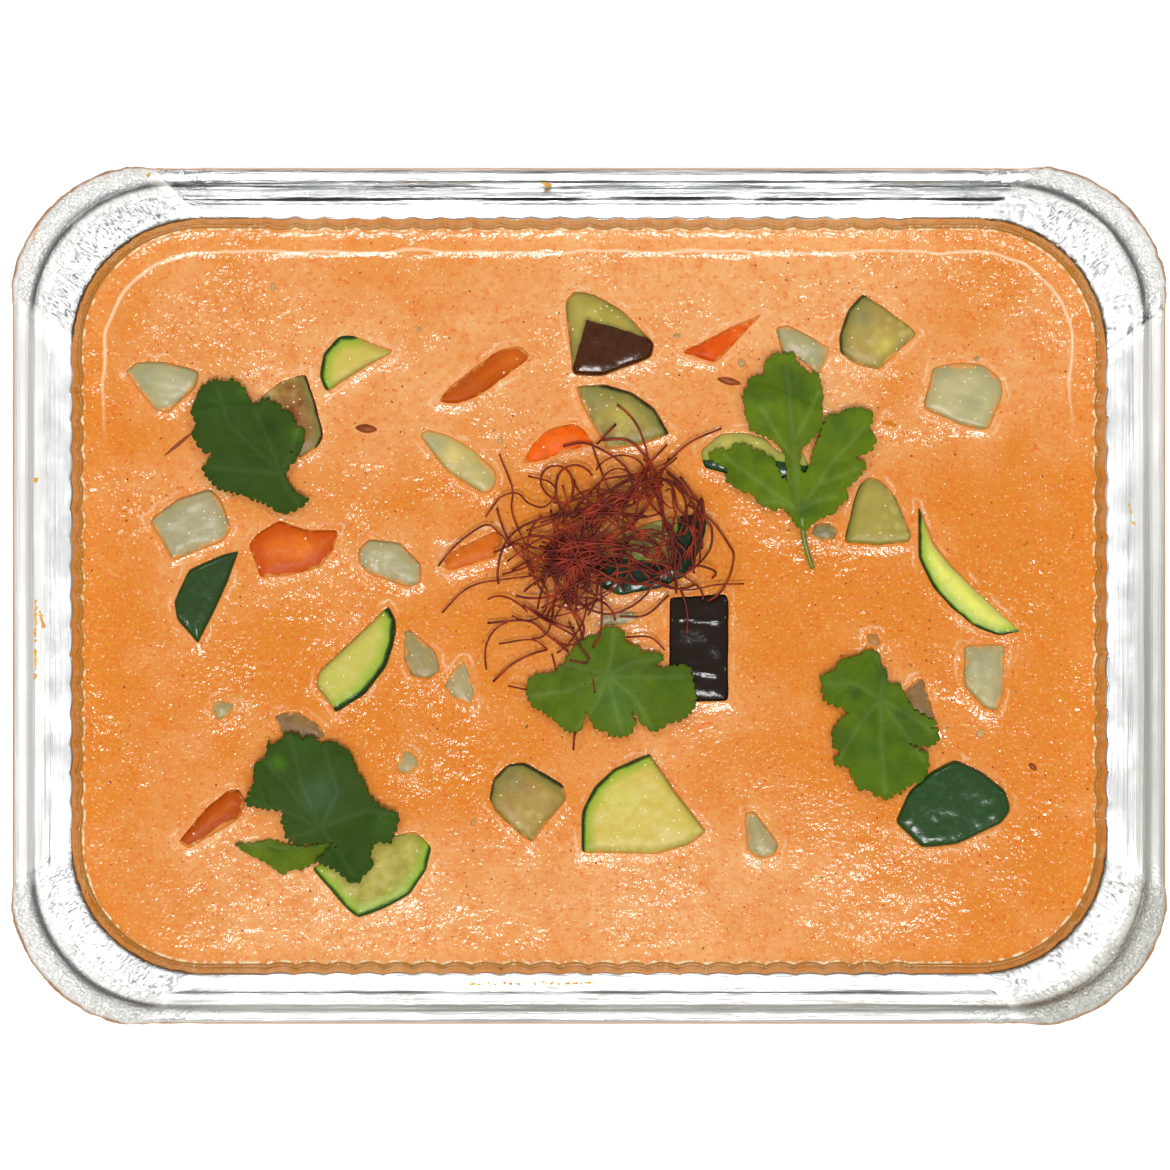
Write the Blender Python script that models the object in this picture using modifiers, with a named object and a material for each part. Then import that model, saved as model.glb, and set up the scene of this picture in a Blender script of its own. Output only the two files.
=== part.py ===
"""Foil tray meal: a rectangular foil tray filled with vegetable curry.

The tray is one sheet of pressed foil. The sauce fills it up to a few millimetres
below the flange. Pieces of courgette, aubergine, carrot and onion stand in
pockets of the sauce, herb leaves lie on top, and a nest of chilli threads
lies near the middle.

Lengths in this file are millimetres; MM turns them into metres. The origin is
the middle of the tray's base, on the surface that the tray stands on.
"""
import math
import random

import bmesh
import bpy
from mathutils import Vector
from mathutils.geometry import delaunay_2d_cdt

MM = 0.001

# Tray
TRAY_HALF_X = 113.3
TRAY_HALF_Y = 84.1
TRAY_CORNER = 27.0
CORNER_SWELL = 0.7
OPENING_HALF_X = 101.7
OPENING_HALF_Y = 74.2
OPENING_CORNER = 25.5
FLANGE_HEIGHT = 30.0
WALL_SLOPE = math.radians(15.0)
FOIL = 0.4
BASE_CORNER = 19.0
BASE_EDGE_HEIGHT = 5.0
BEND_HEIGHT = 1.7
BEND_INSET = 0.9
FLOOR_INSET = 3.2
FLUTE_PITCH = 5.78
FLUTES_LONG = 22
FLUTES_SHORT = 16
FLUTE_DEPTH_TOP = 0.4
FLUTE_DEPTH_FOOT = 1.0
# Steps of the plain rings in each corner, and along a long and a short side
CORNER_STEPS = 8
RIM_STEPS = (6, 4)
BASE_STEPS = (FLUTES_LONG, FLUTES_SHORT)
# Rim, from the flange's first crease to the end of the rolled bead:
# share of the way from the opening to the outer edge, height over the flange
RIM_PROFILE = (
    (0.30, 0.35),
    (0.60, 0.20),
    (0.66, 0.45),
    (0.72, 1.25),
    (0.82, 1.60),
    (0.93, 1.15),
    (1.00, -0.10),
    (0.93, -0.80),
    (0.84, -0.85),
)

# Sauce
GAP = 0.3
SAUCE_LEVEL = 25.3
SAUCE_SWELL = 0.3
MENISCUS_RISE = 1.0
MENISCUS_REACH = 2.6
SAUCE_GRID = 9.0

# Vegetables
PIECE_DEPTH = 8.0
PIECE_ROUNDING = 0.8

# Leaves and threads
LEAF_THICKNESS = 0.45
LEAF_WAVE = 0.25
THREAD_RADIUS = 0.42
THREAD_POINTS = 9
NEST_CENTRE = (12.5, 9.0)
NEST_HALF = (15.0, 9.5)
NEST_FLOOR = 27.1
NEST_RISE = 4.0
NEST_LOOPS = 10
SEED = 7

# Each vegetable piece: corners of its outline in the plan, how far its top stands
# out of the sauce, how much the top is crowned, and the tilt of its top in degrees
# about X and Y
ONIONS = (
    ([(-92, 44.3), (-88.8, 39.9), (-86, 36.4), (-83, 35.7), (-77.4, 40.9), (-76.6, 44.4),
      (-83.7, 46.4), (-89.2, 46.4)], 1.0, 0.4, (2, -2)),
    ([(-33.8, 31.8), (-28, 24.4), (-20.3, 19.6), (-18, 21.5), (-17.8, 24.8), (-22.6, 29.5),
      (-27.5, 32.2), (-32.2, 33.3)], 0.9, 0.5, (-2, 2)),
    ([(36.5, 53.1), (38, 47.3), (41.5, 46.2), (44, 43.6), (46, 43), (48.3, 49),
      (39.5, 53.7)], 0.8, 0.3, (2, 2)),
    ([(67.5, 45.4), (65.6, 36.9), (74, 33.2), (79, 32.6), (82, 40), (81.5, 43), (78, 46),
      (72.7, 46.4)], 1.0, 0.4, (-2, 1)),
    ([(43.2, 12), (46, 10.3), (48.8, 11), (49.6, 13.2), (47.2, 15), (44, 14.4)], 0.6, 0.3, (0, 0)),
    ([(73.6, -9.4), (73.7, -17.8), (78, -22.4), (81, -23), (82.1, -19), (82.5, -9)],
     1.0, 0.3, (-2, 2)),
    ([(-87, 15), (-82.3, 6.6), (-72, 10.4), (-70.1, 13), (-72.2, 19), (-74.5, 21.3),
      (-81.2, 19.2)], 1.2, 0.5, (2, 1)),
    ([(-46, 9), (-45.8, 6.2), (-43.6, 4), (-35.6, 1.3), (-32.9, 2.4), (-32.8, 6.2),
      (-37.1, 10.6), (-43.6, 11.4)], 1.0, 0.5, (2, 0)),
    ([(-75.1, -21.2), (-73.5, -25), (-70.6, -24), (-69.2, -21), (-73.1, -20)], 0.5, 0.3, (0, 0)),
    ([(30.2, -42.4), (30.8, -50.6), (33.6, -52.3), (36.8, -51.4), (37.7, -48.8), (32.6, -42)],
     0.8, 0.3, (0, -2)),
    ([(-38.6, -33.4), (-38.2, -35), (-35.6, -35.7), (-33, -33.6), (-33.6, -31.4),
      (-36.2, -29.7)], 0.6, 0.3, (0, 0)),
    ([(-36.8, -6.4), (-36.8, -12.6), (-35.3, -16), (-31.8, -16.8), (-28.8, -14.8),
      (-29.8, -11), (-35.2, -6)], 1.0, 0.4, (-2, 0)),
    ([(-29.1, -18), (-26.5, -20.8), (-22.8, -22), (-22, -18.6), (-24.4, -12.1), (-27.2, -14.4)],
     0.7, 0.3, (0, 0)),
    ([(-0.8, -6.9), (9.8, -5.8), (10.6, -3.6), (8.8, -2.4), (2.8, -2.8)], 0.6, 0.2, (0, 0)),
)
CARROTS = (
    ([(-30, 38.2), (-25.8, 37.8), (-21.6, 39.4), (-12, 46.2), (-11.2, 47.8), (-13.4, 49.8),
      (-17.8, 49), (-27.5, 41.6)], 1.1, 0.4, (-3, 2)),
    ([(-13.7, 25.8), (-9, 26.3), (-5, 28), (1.2, 29.8), (-0.6, 32.8), (-2.6, 34.3), (-8, 33.3),
      (-11.6, 30)], 0.8, 0.2, (0, 0)),
    ([(18, 48.1), (21.8, 46.8), (25.2, 45.7), (30.1, 51), (34.8, 56.1), (26.5, 52.6)],
     1.2, 0.3, (-2, 2)),
    ([(-67.4, 10), (-65, 3.1), (-58.2, 3.8), (-52.8, 5.4), (-50.2, 8.8), (-49, 13.1),
      (-55.6, 13.1), (-61.1, 15), (-65.4, 12.5)], 1.1, 0.3, (2, 0)),
    ([(-81.3, -48.6), (-78.8, -50.2), (-76.1, -48.6), (-68.6, -44), (-67.3, -40.6),
      (-68.8, -38), (-71.2, -38.2), (-75.7, -42)], 1.1, 0.4, (2, 2)),
    ([(-29.7, 5.8), (-27.5, 4.4), (-18.1, 7.4), (-16.4, 11.2), (-18.2, 13.5), (-27.5, 9)],
     0.5, 0.2, (0, 0)),
    ([(57.2, 34.4), (57.6, 33.2), (61, 32.8), (61.7, 34.2), (58.5, 35.8)], 0.6, 0.2, (0, 0)),
)
AUBERGINES = (
    ([(-65, 39.4), (-62, 31), (-57.1, 26.6), (-53.3, 29), (-51.9, 31.6), (-53.3, 37.1),
      (-55.6, 44.2), (-60.6, 42.8)], 0.8, 0.1, (0, 0)),
    ([(-5, 58), (-3.4, 43.4), (2.6, 43.1), (12.6, 46.8), (13.3, 49.8), (7, 56.4), (1, 59.8),
      (-3.2, 60.5)], 0.9, 2.0, (0, 0)),
    ([(-3, 41.5), (-1.6, 37.4), (3.4, 28.5), (10, 29.5), (16.1, 31.8), (13, 37), (8.5, 40.3),
      (3, 41.8)], 1.1, 0.6, (2, -2)),
    ([(54, 59.6), (51, 56.4), (49.2, 51.4), (49.2, 47.8), (52.7, 45.2), (57.4, 44.2),
      (65.2, 51.5), (63.6, 53.2), (58.2, 57.2)], 1.2, 0.6, (2, 2)),
    ([(50, 10.3), (57, 9.9), (63.2, 10.4), (63.9, 12), (60.6, 20), (57.8, 23), (55.2, 24),
      (53.2, 22.6), (51.8, 18.6)], 1.1, 0.6, (-2, 0)),
    ([(-19.8, -40), (-18.5, -42.6), (-13.2, -47.6), (-11, -49), (-8.1, -44.8), (-4, -40.4),
      (-4.8, -37), (-12.6, -32.5), (-16, -32.9), (-19, -36)], 1.2, 0.6, (0, 2)),
    ([(15.5, 0.1), (15.5, -21.2), (27.8, -21), (27.8, -1), (27.4, 0.7)], 0.9, 0.1, (0, 0)),
)
PEELS = (
    ([(61.9, -18.4), (62, -23), (66, -25), (69.4, -26.3), (67.6, -20.4), (66.2, -16),
      (64.8, -15.7)], 0.7, 0.1, (0, 0)),
    ([(54, -7.1), (54.7, -9.6), (56.6, -10.9), (58.3, -9.6), (57.2, -6.9)], 0.5, 0.2, (0, 0)),
    ([(-62.7, -23.6), (-61, -27.5), (-56, -29.5), (-51.1, -28.1), (-52.7, -25.2),
      (-57.1, -22.4), (-60.1, -22.4)], 0.6, 0.1, (0, 0)),
)
COURGETTES = (
    ([(-51.9, 39.9), (-44, 45), (-39, 47.5), (-38.2, 48.6), (-46.4, 51.7), (-49.4, 51.6),
      (-52.6, 48), (-53.3, 43.5)], 1.1, 0.4, (-2, 0)),
    ([(21.6, 28.7), (22.6, 25), (33.6, 22.1), (41.5, 23.1), (43.9, 25), (42.6, 28.8),
      (37.5, 28.8), (34.9, 31.5), (30.4, 32.7), (25.9, 32.4)], 0.9, 0.1, (0, 0)),
    ([(64.9, 18.2), (64.9, 7.5), (67.6, 1.8), (71.7, -2.8), (75.7, -6.2), (80.7, -8.3),
      (86.8, -7.5), (80.7, -2.5), (71.7, 6), (68.2, 10.4)], 1.2, 0.0, (1, 2)),
    ([(-68.6, 9.2), (-72, 8.6), (-79.2, 5.4), (-82.2, -1), (-81.5, -5), (-77, -9.8),
      (-74.1, -4.2), (-70.8, 2.9)], 0.9, 1.8, (0, 0)),
    ([(-39.4, -1.6), (-48.9, -10.6), (-53.4, -14.8), (-54, -17.6), (-49.9, -23.2),
      (-44, -19.5), (-39.7, -14.1), (-38, -9), (-37.9, -4.6)], 1.3, 0.4, (0, 2)),
    ([(-55.1, -53.6), (-48.1, -61.8), (-45.6, -63.8), (-40.1, -61.8), (-35.2, -59.1),
      (-31.8, -54), (-30.6, -49.5), (-34.1, -46), (-46, -48.5)], 0.9, 0.1, (0, 0)),
    ([(-1.9, -51), (14, -51.1), (20, -49.2), (23.5, -46.6), (17.1, -38.5), (12, -31),
      (5, -33.9), (1, -37.4), (-1.7, -42.6)], 1.3, 0.5, (2, -1)),
    ([(60, -44.6), (65.6, -50), (72.7, -49.2), (81.6, -45), (83.5, -42.2), (82.3, -38.2),
      (77.6, -34.5), (72.2, -31.9), (67.2, -34.5), (62.7, -38.5)], 0.9, 2.2, (0, 0)),
    ([(0.2, 5.1), (2, 1.3), (6.1, -0.3), (14.1, 1.1), (19.8, 4), (22.8, 10.6), (23.7, 15.5),
      (20, 16.4), (12, 15), (2.2, 10)], 0.9, 0.2, (0, 0)),
)

# Each leaf: its middle, height, curl of its edge, and its tips and notches in polar
# form (degrees, reach), turning left from +X
LEAVES = (
    ((-66.6, 29.1), 27.2, 0.9, [
        (1, 10.1), (17, 11), (28, 10), (42, 10.5), (51, 9.7), (60, 10.3), (71, 10.3), (79, 9.6),
        (87, 8.2), (95, 11.3), (105, 14), (120, 15.5), (130, 15.4), (140, 14), (150, 13.2),
        (165, 12), (176, 10.6), (189, 7.5), (200, 10.2), (212, 10.4), (230, 10.4), (245, 9.5),
        (259, 9.5), (276, 10.2), (287, 12), (296, 14.4), (306, 15.1), (318, 15.4), (323, 9),
        (335, 8.4), (350, 9.5)]),
    ((41.5, 26.3), 27.3, 0.8, [
        (5, 10.9), (17, 16), (25, 14.7), (35, 17.3), (44, 15), (51, 13.4), (58, 4.5),
        (66, 13.5), (79, 17.9), (88, 18.3), (100, 22), (112, 18.4), (119, 19.3), (131, 16.5),
        (140, 13.2), (148, 11), (158, 4), (166, 13), (177, 18.2), (184, 13.8), (192, 15),
        (208, 11.6), (225, 11.5), (243, 10.6), (250, 9.4), (268, 12), (275, 13.5),
        (278.5, 20.7), (283, 12.5), (296, 11.7), (310, 11.6), (322, 11.8), (330, 10.3),
        (345, 11.9), (357, 13.4)]),
    ((4.9, -16.9), 26.9, 0.7, [
        (0, 15.7), (12, 15.2), (18, 8.8), (27, 11), (35, 10.4), (46, 8.2), (64, 7.9),
        (79, 10), (93, 10.8), (108, 9.9), (120, 10.4), (133, 10.5), (150, 10.2), (165, 11.2),
        (173, 12.5), (178, 16.6), (188, 17.3), (199, 16.4), (207, 14.7), (220, 13.3),
        (229, 13), (234, 8.5), (250, 10), (262, 9.7), (272, 10.9), (286, 10.9), (296, 9),
        (301, 6.3), (307, 11.5), (316, 13.1), (324, 13.3), (332, 15.5), (345, 16.5)]),
    ((57.2, -24.8), 26.9, 0.8, [
        (0, 11.6), (7, 9), (18, 7.5), (35, 6.7), (50, 7.6), (63, 8.5), (79, 8.2), (88, 11.3),
        (97, 14.3), (106, 13.7), (121, 14.4), (129, 13.5), (142, 14.7), (153, 12.9),
        (160, 10.5), (165, 6.2), (180, 8.2), (193, 9.6), (205, 10), (217, 10), (224, 12.1),
        (233, 10.8), (241, 11.8), (252, 13.9), (262, 13.4), (272, 15), (280, 15.2),
        (294, 13.7), (308, 14.4), (319, 13), (324, 7), (333, 11), (342, 12.2)]),
    ((-52.5, -40.1), 27.3, 0.9, [
        (0, 10.3), (18, 8.9), (38, 8.7), (50, 9.8), (62, 10.9), (80, 11.6), (96, 11.8),
        (108, 13.4), (118, 14.9), (125, 14.3), (133, 15.8), (144, 14), (155, 14.8),
        (167, 13.6), (176, 14.4), (184, 15), (190, 11), (197, 7.7), (214, 9.6), (228, 10.3),
        (240, 10), (250, 9.3), (262, 9.3), (270, 12.2), (278, 13.6), (286, 16), (293, 18),
        (300, 16.9), (309, 15.4), (318, 12.8), (328, 15.8), (340, 15.7), (350, 14.8)]),
    ((-60.8, -51.3), 26.2, 0.2, [
        (5, 8.2), (20, 8.3), (60, 3), (100, 2.3), (135, 4), (163, 9.4), (180, 5.2), (203, 3),
        (250, 2.6), (290, 3), (330, 4.6)]),
)

# Chilli threads that reach out of the nest, each a route in the plan
STRANDS = (
    [(-29.7, 5.9), (-26, 10.2), (-20.4, 14), (-13, 9.5), (-4, 9), (6, 9)],
    [(-17.7, 27.9), (-15, 21.2), (-14, 16), (-7, 11), (4, 9)],
    [(-12, 23.6), (-7.7, 22.4), (-6.5, 20), (-8.8, 17), (-4, 12), (6, 8)],
    [(-5, 29.5), (0, 29.9), (7.3, 25.2), (9, 18), (11, 9)],
    [(5.3, 33.8), (1.6, 29.9), (4, 24), (9, 16), (14, 8)],
    [(2.4, 30.7), (7.3, 30.7), (12.8, 24.8), (15, 17), (15, 9)],
    [(26.1, 33), (20, 30.3), (14.9, 25.9), (14, 19), (12, 10)],
    [(14, 15), (19.6, 17.9), (24.2, 14.7), (28.5, 8), (26, 0.6), (21, 0), (12, 6)],
    [(30.5, 2.4), (24, 1.6), (18.9, 1.4), (13, 4), (8, 8)],
    [(-28.9, -3.3), (-25.2, 0.6), (-20, 3.4), (-10, 4), (0, 6), (8, 9)],
    [(-20, -5.3), (-12, -4.9), (-6, -3), (0, 2), (8, 7)],
)

COLOURS = {
    "foil": ((0.72, 0.72, 0.70, 1.0), 0.3, 1.0),
    "sauce": ((0.72, 0.28, 0.06, 1.0), 0.25, 0.0),
    "onion": ((0.56, 0.48, 0.24, 1.0), 0.35, 0.0),
    "carrot": ((0.62, 0.12, 0.01, 1.0), 0.4, 0.0),
    "aubergine": ((0.45, 0.33, 0.10, 1.0), 0.4, 0.0),
    "peel": ((0.24, 0.12, 0.05, 1.0), 0.4, 0.0),
    "courgette": ((0.55, 0.50, 0.12, 1.0), 0.4, 0.0),
    "leaf": ((0.07, 0.14, 0.02, 1.0), 0.45, 0.0),
    "chilli": ((0.16, 0.03, 0.02, 1.0), 0.5, 0.0),
}


def make_material(name):
    colour, roughness, metallic = COLOURS[name]
    material = bpy.data.materials.new(name)
    material.use_nodes = True
    shader = material.node_tree.nodes["Principled BSDF"]
    shader.inputs["Base Color"].default_value = colour
    shader.inputs["Roughness"].default_value = roughness
    shader.inputs["Metallic"].default_value = metallic
    return material


def add_object(name, bm, material, collection):
    mesh = bpy.data.meshes.new(name)
    bm.to_mesh(mesh)
    bm.free()
    obj = bpy.data.objects.new(name, mesh)
    if material:
        mesh.materials.append(material)
    collection.objects.link(obj)
    return obj


def apply_modifiers(obj):
    """Replace the object's mesh by its evaluated one, as Apply does."""
    depsgraph = bpy.context.evaluated_depsgraph_get()
    mesh = bpy.data.meshes.new_from_object(obj.evaluated_get(depsgraph))
    obj.modifiers.clear()
    obj.data = mesh


def corner_arc(quarter, half_x, half_y, radius, swell=0.0):
    """Points of one rounded corner, turning left, with its foil swollen outwards."""
    side_x = 1 if quarter in (0, 3) else -1
    side_y = 1 if quarter in (0, 1) else -1
    centre_x = side_x * (half_x - radius)
    centre_y = side_y * (half_y - radius)
    points = []
    for step in range(CORNER_STEPS + 1):
        share = step / CORNER_STEPS
        angle = math.radians(90.0 * (quarter + share))
        reach = radius + swell * min(1.0, 3.0 * math.sin(math.pi * share))
        points.append((centre_x + reach * math.cos(angle), centre_y + reach * math.sin(angle)))
    return points


def rounded_ring(half_x, half_y, radius, swell=0.0, side_steps=RIM_STEPS):
    """A rounded rectangle as a ring of points, turning left."""
    corners = [corner_arc(q, half_x, half_y, radius, swell) for q in range(4)]
    ring = []
    for quarter, corner in enumerate(corners):
        ring += corner
        start = Vector(corner[-1])
        end = Vector(corners[(quarter + 1) % 4][0])
        steps = side_steps[quarter % 2]
        ring += [tuple(start.lerp(end, step / steps)) for step in range(1, steps)]
    return ring


def fluted_ring(half_x, half_y, radius, depth):
    """The same ring with flutes along its four sides."""
    corners = [corner_arc(q, half_x, half_y, radius) for q in range(4)]
    ring = []
    for quarter, corner in enumerate(corners):
        ring += corner
        start = Vector(corner[-1])
        end = Vector(corners[(quarter + 1) % 4][0])
        along = (end - start).normalized()
        outward = Vector((along.y, -along.x))
        flutes = FLUTES_LONG if quarter % 2 == 0 else FLUTES_SHORT
        first = (start + end) / 2 - along * flutes * FLUTE_PITCH / 2
        for step in range(2 * flutes + 1):
            side = -0.5 if step % 2 else 0.5
            ring.append(tuple(first + along * step * FLUTE_PITCH / 2 + outward * side * depth))
    return ring


def add_ring(bm, ring, height):
    return [bm.verts.new(Vector((x, y, height)) * MM) for x, y in ring]


def ring_shares(plan):
    """How far round its ring each point of a plan lies, as a share of the way."""
    lengths = [0.0]
    for here, there in zip(plan, plan[1:] + plan[:1]):
        lengths.append(lengths[-1] + math.dist(here, there))
    return [length / lengths[-1] for length in lengths]


def zip_rings(bm, lower, lower_plan, upper, upper_plan):
    """Join two rings of unlike point counts with triangles, by their plans without flutes."""
    lower_shares = ring_shares(lower_plan)
    upper_shares = ring_shares(upper_plan)
    i = j = 0
    while i < len(lower) or j < len(upper):
        a = lower[i % len(lower)]
        b = upper[j % len(upper)]
        step_lower = j == len(upper)
        if i < len(lower) and j < len(upper):
            step_lower = lower_shares[i + 1] <= upper_shares[j + 1]
        if step_lower:
            i += 1
            bm.faces.new((a, lower[i % len(lower)], b))
        else:
            j += 1
            bm.faces.new((a, upper[j % len(upper)], b))


def join_rings(bm, lower, upper):
    """Join two rings of like point counts with quads."""
    for k in range(len(lower)):
        n = (k + 1) % len(lower)
        bm.faces.new((lower[k], lower[n], upper[n], upper[k]))


def wall_inset(height):
    return (FLANGE_HEIGHT - height) * math.tan(WALL_SLOPE)


def wall_corner(height):
    share = height / FLANGE_HEIGHT
    return BASE_CORNER + (OPENING_CORNER - BASE_CORNER) * share


def wall_ring(height, extra=0.0, depth=None, side_steps=RIM_STEPS):
    """Ring of the wall at a height, moved inwards by extra."""
    inset = wall_inset(height) + extra
    half_x = OPENING_HALF_X - inset
    half_y = OPENING_HALF_Y - inset
    radius = wall_corner(height) - extra
    if depth is None:
        return rounded_ring(half_x, half_y, radius, 0.0, side_steps)
    return fluted_ring(half_x, half_y, radius, depth)


def build_tray(material, collection):
    """One sheet from the base up the fluted wall, over the flange and round the bead."""
    bm = bmesh.new()
    bend_plan = wall_ring(BEND_HEIGHT, BEND_INSET, None, BASE_STEPS)
    floor = add_ring(bm, wall_ring(FOIL, FLOOR_INSET, None, BASE_STEPS), FOIL)
    bend = add_ring(bm, bend_plan, BEND_HEIGHT)
    foot = add_ring(bm, wall_ring(BASE_EDGE_HEIGHT, 0.0, FLUTE_DEPTH_FOOT), BASE_EDGE_HEIGHT)
    lip = add_ring(bm, wall_ring(FLANGE_HEIGHT, 0.0, FLUTE_DEPTH_TOP), FLANGE_HEIGHT)
    bm.faces.new(floor)
    join_rings(bm, floor, bend)
    zip_rings(bm, bend, bend_plan, foot, wall_ring(BASE_EDGE_HEIGHT, 0.0, 0.0))
    join_rings(bm, foot, lip)
    last = lip
    for count, (share, rise) in enumerate(RIM_PROFILE):
        half_x = OPENING_HALF_X + (TRAY_HALF_X - OPENING_HALF_X) * share
        half_y = OPENING_HALF_Y + (TRAY_HALF_Y - OPENING_HALF_Y) * share
        radius = OPENING_CORNER + (TRAY_CORNER - OPENING_CORNER) * share
        swell = CORNER_SWELL if share > 0.65 else 0.0
        plan = rounded_ring(half_x, half_y, radius, swell)
        ring = add_ring(bm, plan, FLANGE_HEIGHT + rise)
        if count == 0:
            zip_rings(bm, last, wall_ring(FLANGE_HEIGHT, 0.0, 0.0), ring, plan)
        else:
            join_rings(bm, last, ring)
        last = ring
    bmesh.ops.recalc_face_normals(bm, faces=bm.faces)
    bm.faces.ensure_lookup_table()
    if bm.faces[0].normal.z < 0:
        bmesh.ops.reverse_faces(bm, faces=bm.faces)
    tray = add_object("foil_tray", bm, material, collection)
    sheet = tray.modifiers.new("foil_thickness", "SOLIDIFY")
    sheet.thickness = FOIL * MM
    sheet.offset = -1.0
    return tray


def sauce_height(x, y, to_wall):
    """Surface of the sauce: gentle swells, drawn up where it meets the foil."""
    swell = math.sin(x / 13.0 + 1.0) * math.cos(y / 11.0) + 0.5 * math.sin((x + y) / 8.0)
    return SAUCE_LEVEL + SAUCE_SWELL * swell / 1.5 + MENISCUS_RISE * math.exp(-to_wall / MENISCUS_REACH)


def build_sauce(material, collection):
    bm = bmesh.new()
    side_gap = GAP + FLUTE_DEPTH_FOOT / 2
    bend_height = BEND_HEIGHT + GAP
    bottom = add_ring(bm, wall_ring(FOIL + GAP, side_gap + FLOOR_INSET), FOIL + GAP)
    bend = add_ring(bm, wall_ring(bend_height, side_gap + BEND_INSET), bend_height)
    bm.faces.new(bottom)
    join_rings(bm, bottom, bend)
    points = []
    heights = []
    rings = []
    for to_wall in (0.0, 2.0, 5.0):
        ring = wall_ring(SAUCE_LEVEL, side_gap + to_wall)
        rings.append(list(range(len(points), len(points) + len(ring))))
        points += [Vector(p) for p in ring]
        heights += [sauce_height(x, y, to_wall) for x, y in ring]
    inner_half_x = OPENING_HALF_X - wall_inset(SAUCE_LEVEL) - side_gap - 9.0
    inner_half_y = OPENING_HALF_Y - wall_inset(SAUCE_LEVEL) - side_gap - 9.0
    columns = round(2 * inner_half_x / SAUCE_GRID)
    rows = round(2 * inner_half_y / SAUCE_GRID)
    for column in range(columns + 1):
        for row in range(rows + 1):
            x = inner_half_x * (2 * column / columns - 1)
            y = inner_half_y * (2 * row / rows - 1)
            corner_x = max(0.0, abs(x) - inner_half_x + 18.0)
            corner_y = max(0.0, abs(y) - inner_half_y + 18.0)
            if math.hypot(corner_x, corner_y) <= 18.5:
                points.append(Vector((x, y)))
                heights.append(sauce_height(x, y, 9.0))
    edges = [(ring[k], ring[(k + 1) % len(ring)]) for ring in rings for k in range(len(ring))]
    flat, _, triangles, originals, _, _ = delaunay_2d_cdt(points, edges, [], 1, 1e-6)
    surface = []
    for point, source in zip(flat, originals):
        surface.append(bm.verts.new(Vector((point.x, point.y, heights[source[0]])) * MM))
    for triangle in triangles:
        bm.faces.new([surface[k] for k in triangle])
    rim = {source[0]: vert for vert, source in zip(surface, originals)}
    join_rings(bm, bend, [rim[k] for k in rings[0]])
    bmesh.ops.recalc_face_normals(bm, faces=bm.faces)
    return add_object("curry_sauce", bm, material, collection)


def grown(corners, margin):
    """The outline moved outwards by margin, its corners kept sharp."""
    result = []
    count = len(corners)
    for k, here in enumerate(corners):
        before = (Vector(here) - Vector(corners[k - 1])).normalized()
        after = (Vector(corners[(k + 1) % count]) - Vector(here)).normalized()
        out_before = Vector((before.y, -before.x))
        out_after = Vector((after.y, -after.x))
        mitre = out_before + out_after
        length = 2.0 / max(0.5, mitre.length_squared)
        result.append(tuple(Vector(here) + mitre * margin * length))
    return result


def middle(corners):
    return (sum(x for x, _ in corners) / len(corners), sum(y for _, y in corners) / len(corners))


def prism(corners, centre, low, high):
    """A block over an outline, from one height to another."""
    bm = bmesh.new()
    base = [bm.verts.new(Vector((x - centre[0], y - centre[1], low)) * MM) for x, y in corners]
    face = bm.faces.new(base)
    top = bmesh.ops.extrude_face_region(bm, geom=[face])["geom"]
    verts = [item for item in top if isinstance(item, bmesh.types.BMVert)]
    bmesh.ops.translate(bm, verts=verts, vec=Vector((0, 0, high - low)) * MM)
    bmesh.ops.recalc_face_normals(bm, faces=bm.faces)
    return bm


def build_piece(name, shape, material, collection, cutters):
    """A piece of vegetable, and the block that cuts its pocket in the sauce."""
    corners, rise, crown, tilt = shape
    centre = middle(corners)
    bm = prism(corners, centre, -PIECE_DEPTH, 0.0)
    top = max(bm.faces, key=lambda face: face.calc_center_median().z)
    bmesh.ops.bevel(bm, geom=list(top.edges), offset=PIECE_ROUNDING * MM, segments=1,
                    profile=0.5, affect="EDGES")
    if crown:
        top = max(bm.faces, key=lambda face: face.calc_center_median().z)
        bmesh.ops.poke(bm, faces=[top], offset=crown * MM)
    piece = add_object(name, bm, material, collection)
    outline = grown(corners, GAP)
    pocket = add_object("pocket_" + name, prism(outline, centre, -PIECE_DEPTH - GAP, 10.0), None, cutters)
    for obj in (piece, pocket):
        obj.location = Vector((centre[0], centre[1], SAUCE_LEVEL + rise)) * MM
        obj.rotation_euler = (math.radians(tilt[0]), math.radians(tilt[1]), 0.0)
    pocket.hide_render = True
    pocket.display_type = "WIRE"
    return piece


def build_leaf(name, shape, material, collection):
    """A thin wavy leaf: rings from its middle out to its toothed edge."""
    (centre_x, centre_y), height, curl, teeth = shape
    widest = max(reach for _, reach in teeth)
    bm = bmesh.new()
    middle_vert = bm.verts.new(Vector((centre_x, centre_y, height)) * MM)
    rings = []
    for share in (0.5, 1.0):
        ring = []
        for angle, reach in teeth:
            turn = math.radians(angle)
            out = reach * share
            wave = LEAF_WAVE * math.sin(3.0 * turn + centre_x) * share
            lift = curl * (out / widest) ** 2
            place = (centre_x + out * math.cos(turn), centre_y + out * math.sin(turn))
            ring.append(bm.verts.new(Vector((*place, height + lift + wave)) * MM))
        rings.append(ring)
    for k in range(len(teeth)):
        n = (k + 1) % len(teeth)
        bm.faces.new((middle_vert, rings[0][k], rings[0][n]))
    join_rings(bm, rings[0], rings[1])
    bmesh.ops.triangulate(bm, faces=bm.faces)
    bmesh.ops.recalc_face_normals(bm, faces=bm.faces)
    leaf = add_object(name, bm, material, collection)
    blade = leaf.modifiers.new("blade_thickness", "SOLIDIFY")
    blade.thickness = LEAF_THICKNESS * MM
    blade.offset = 0.0
    return leaf


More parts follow.
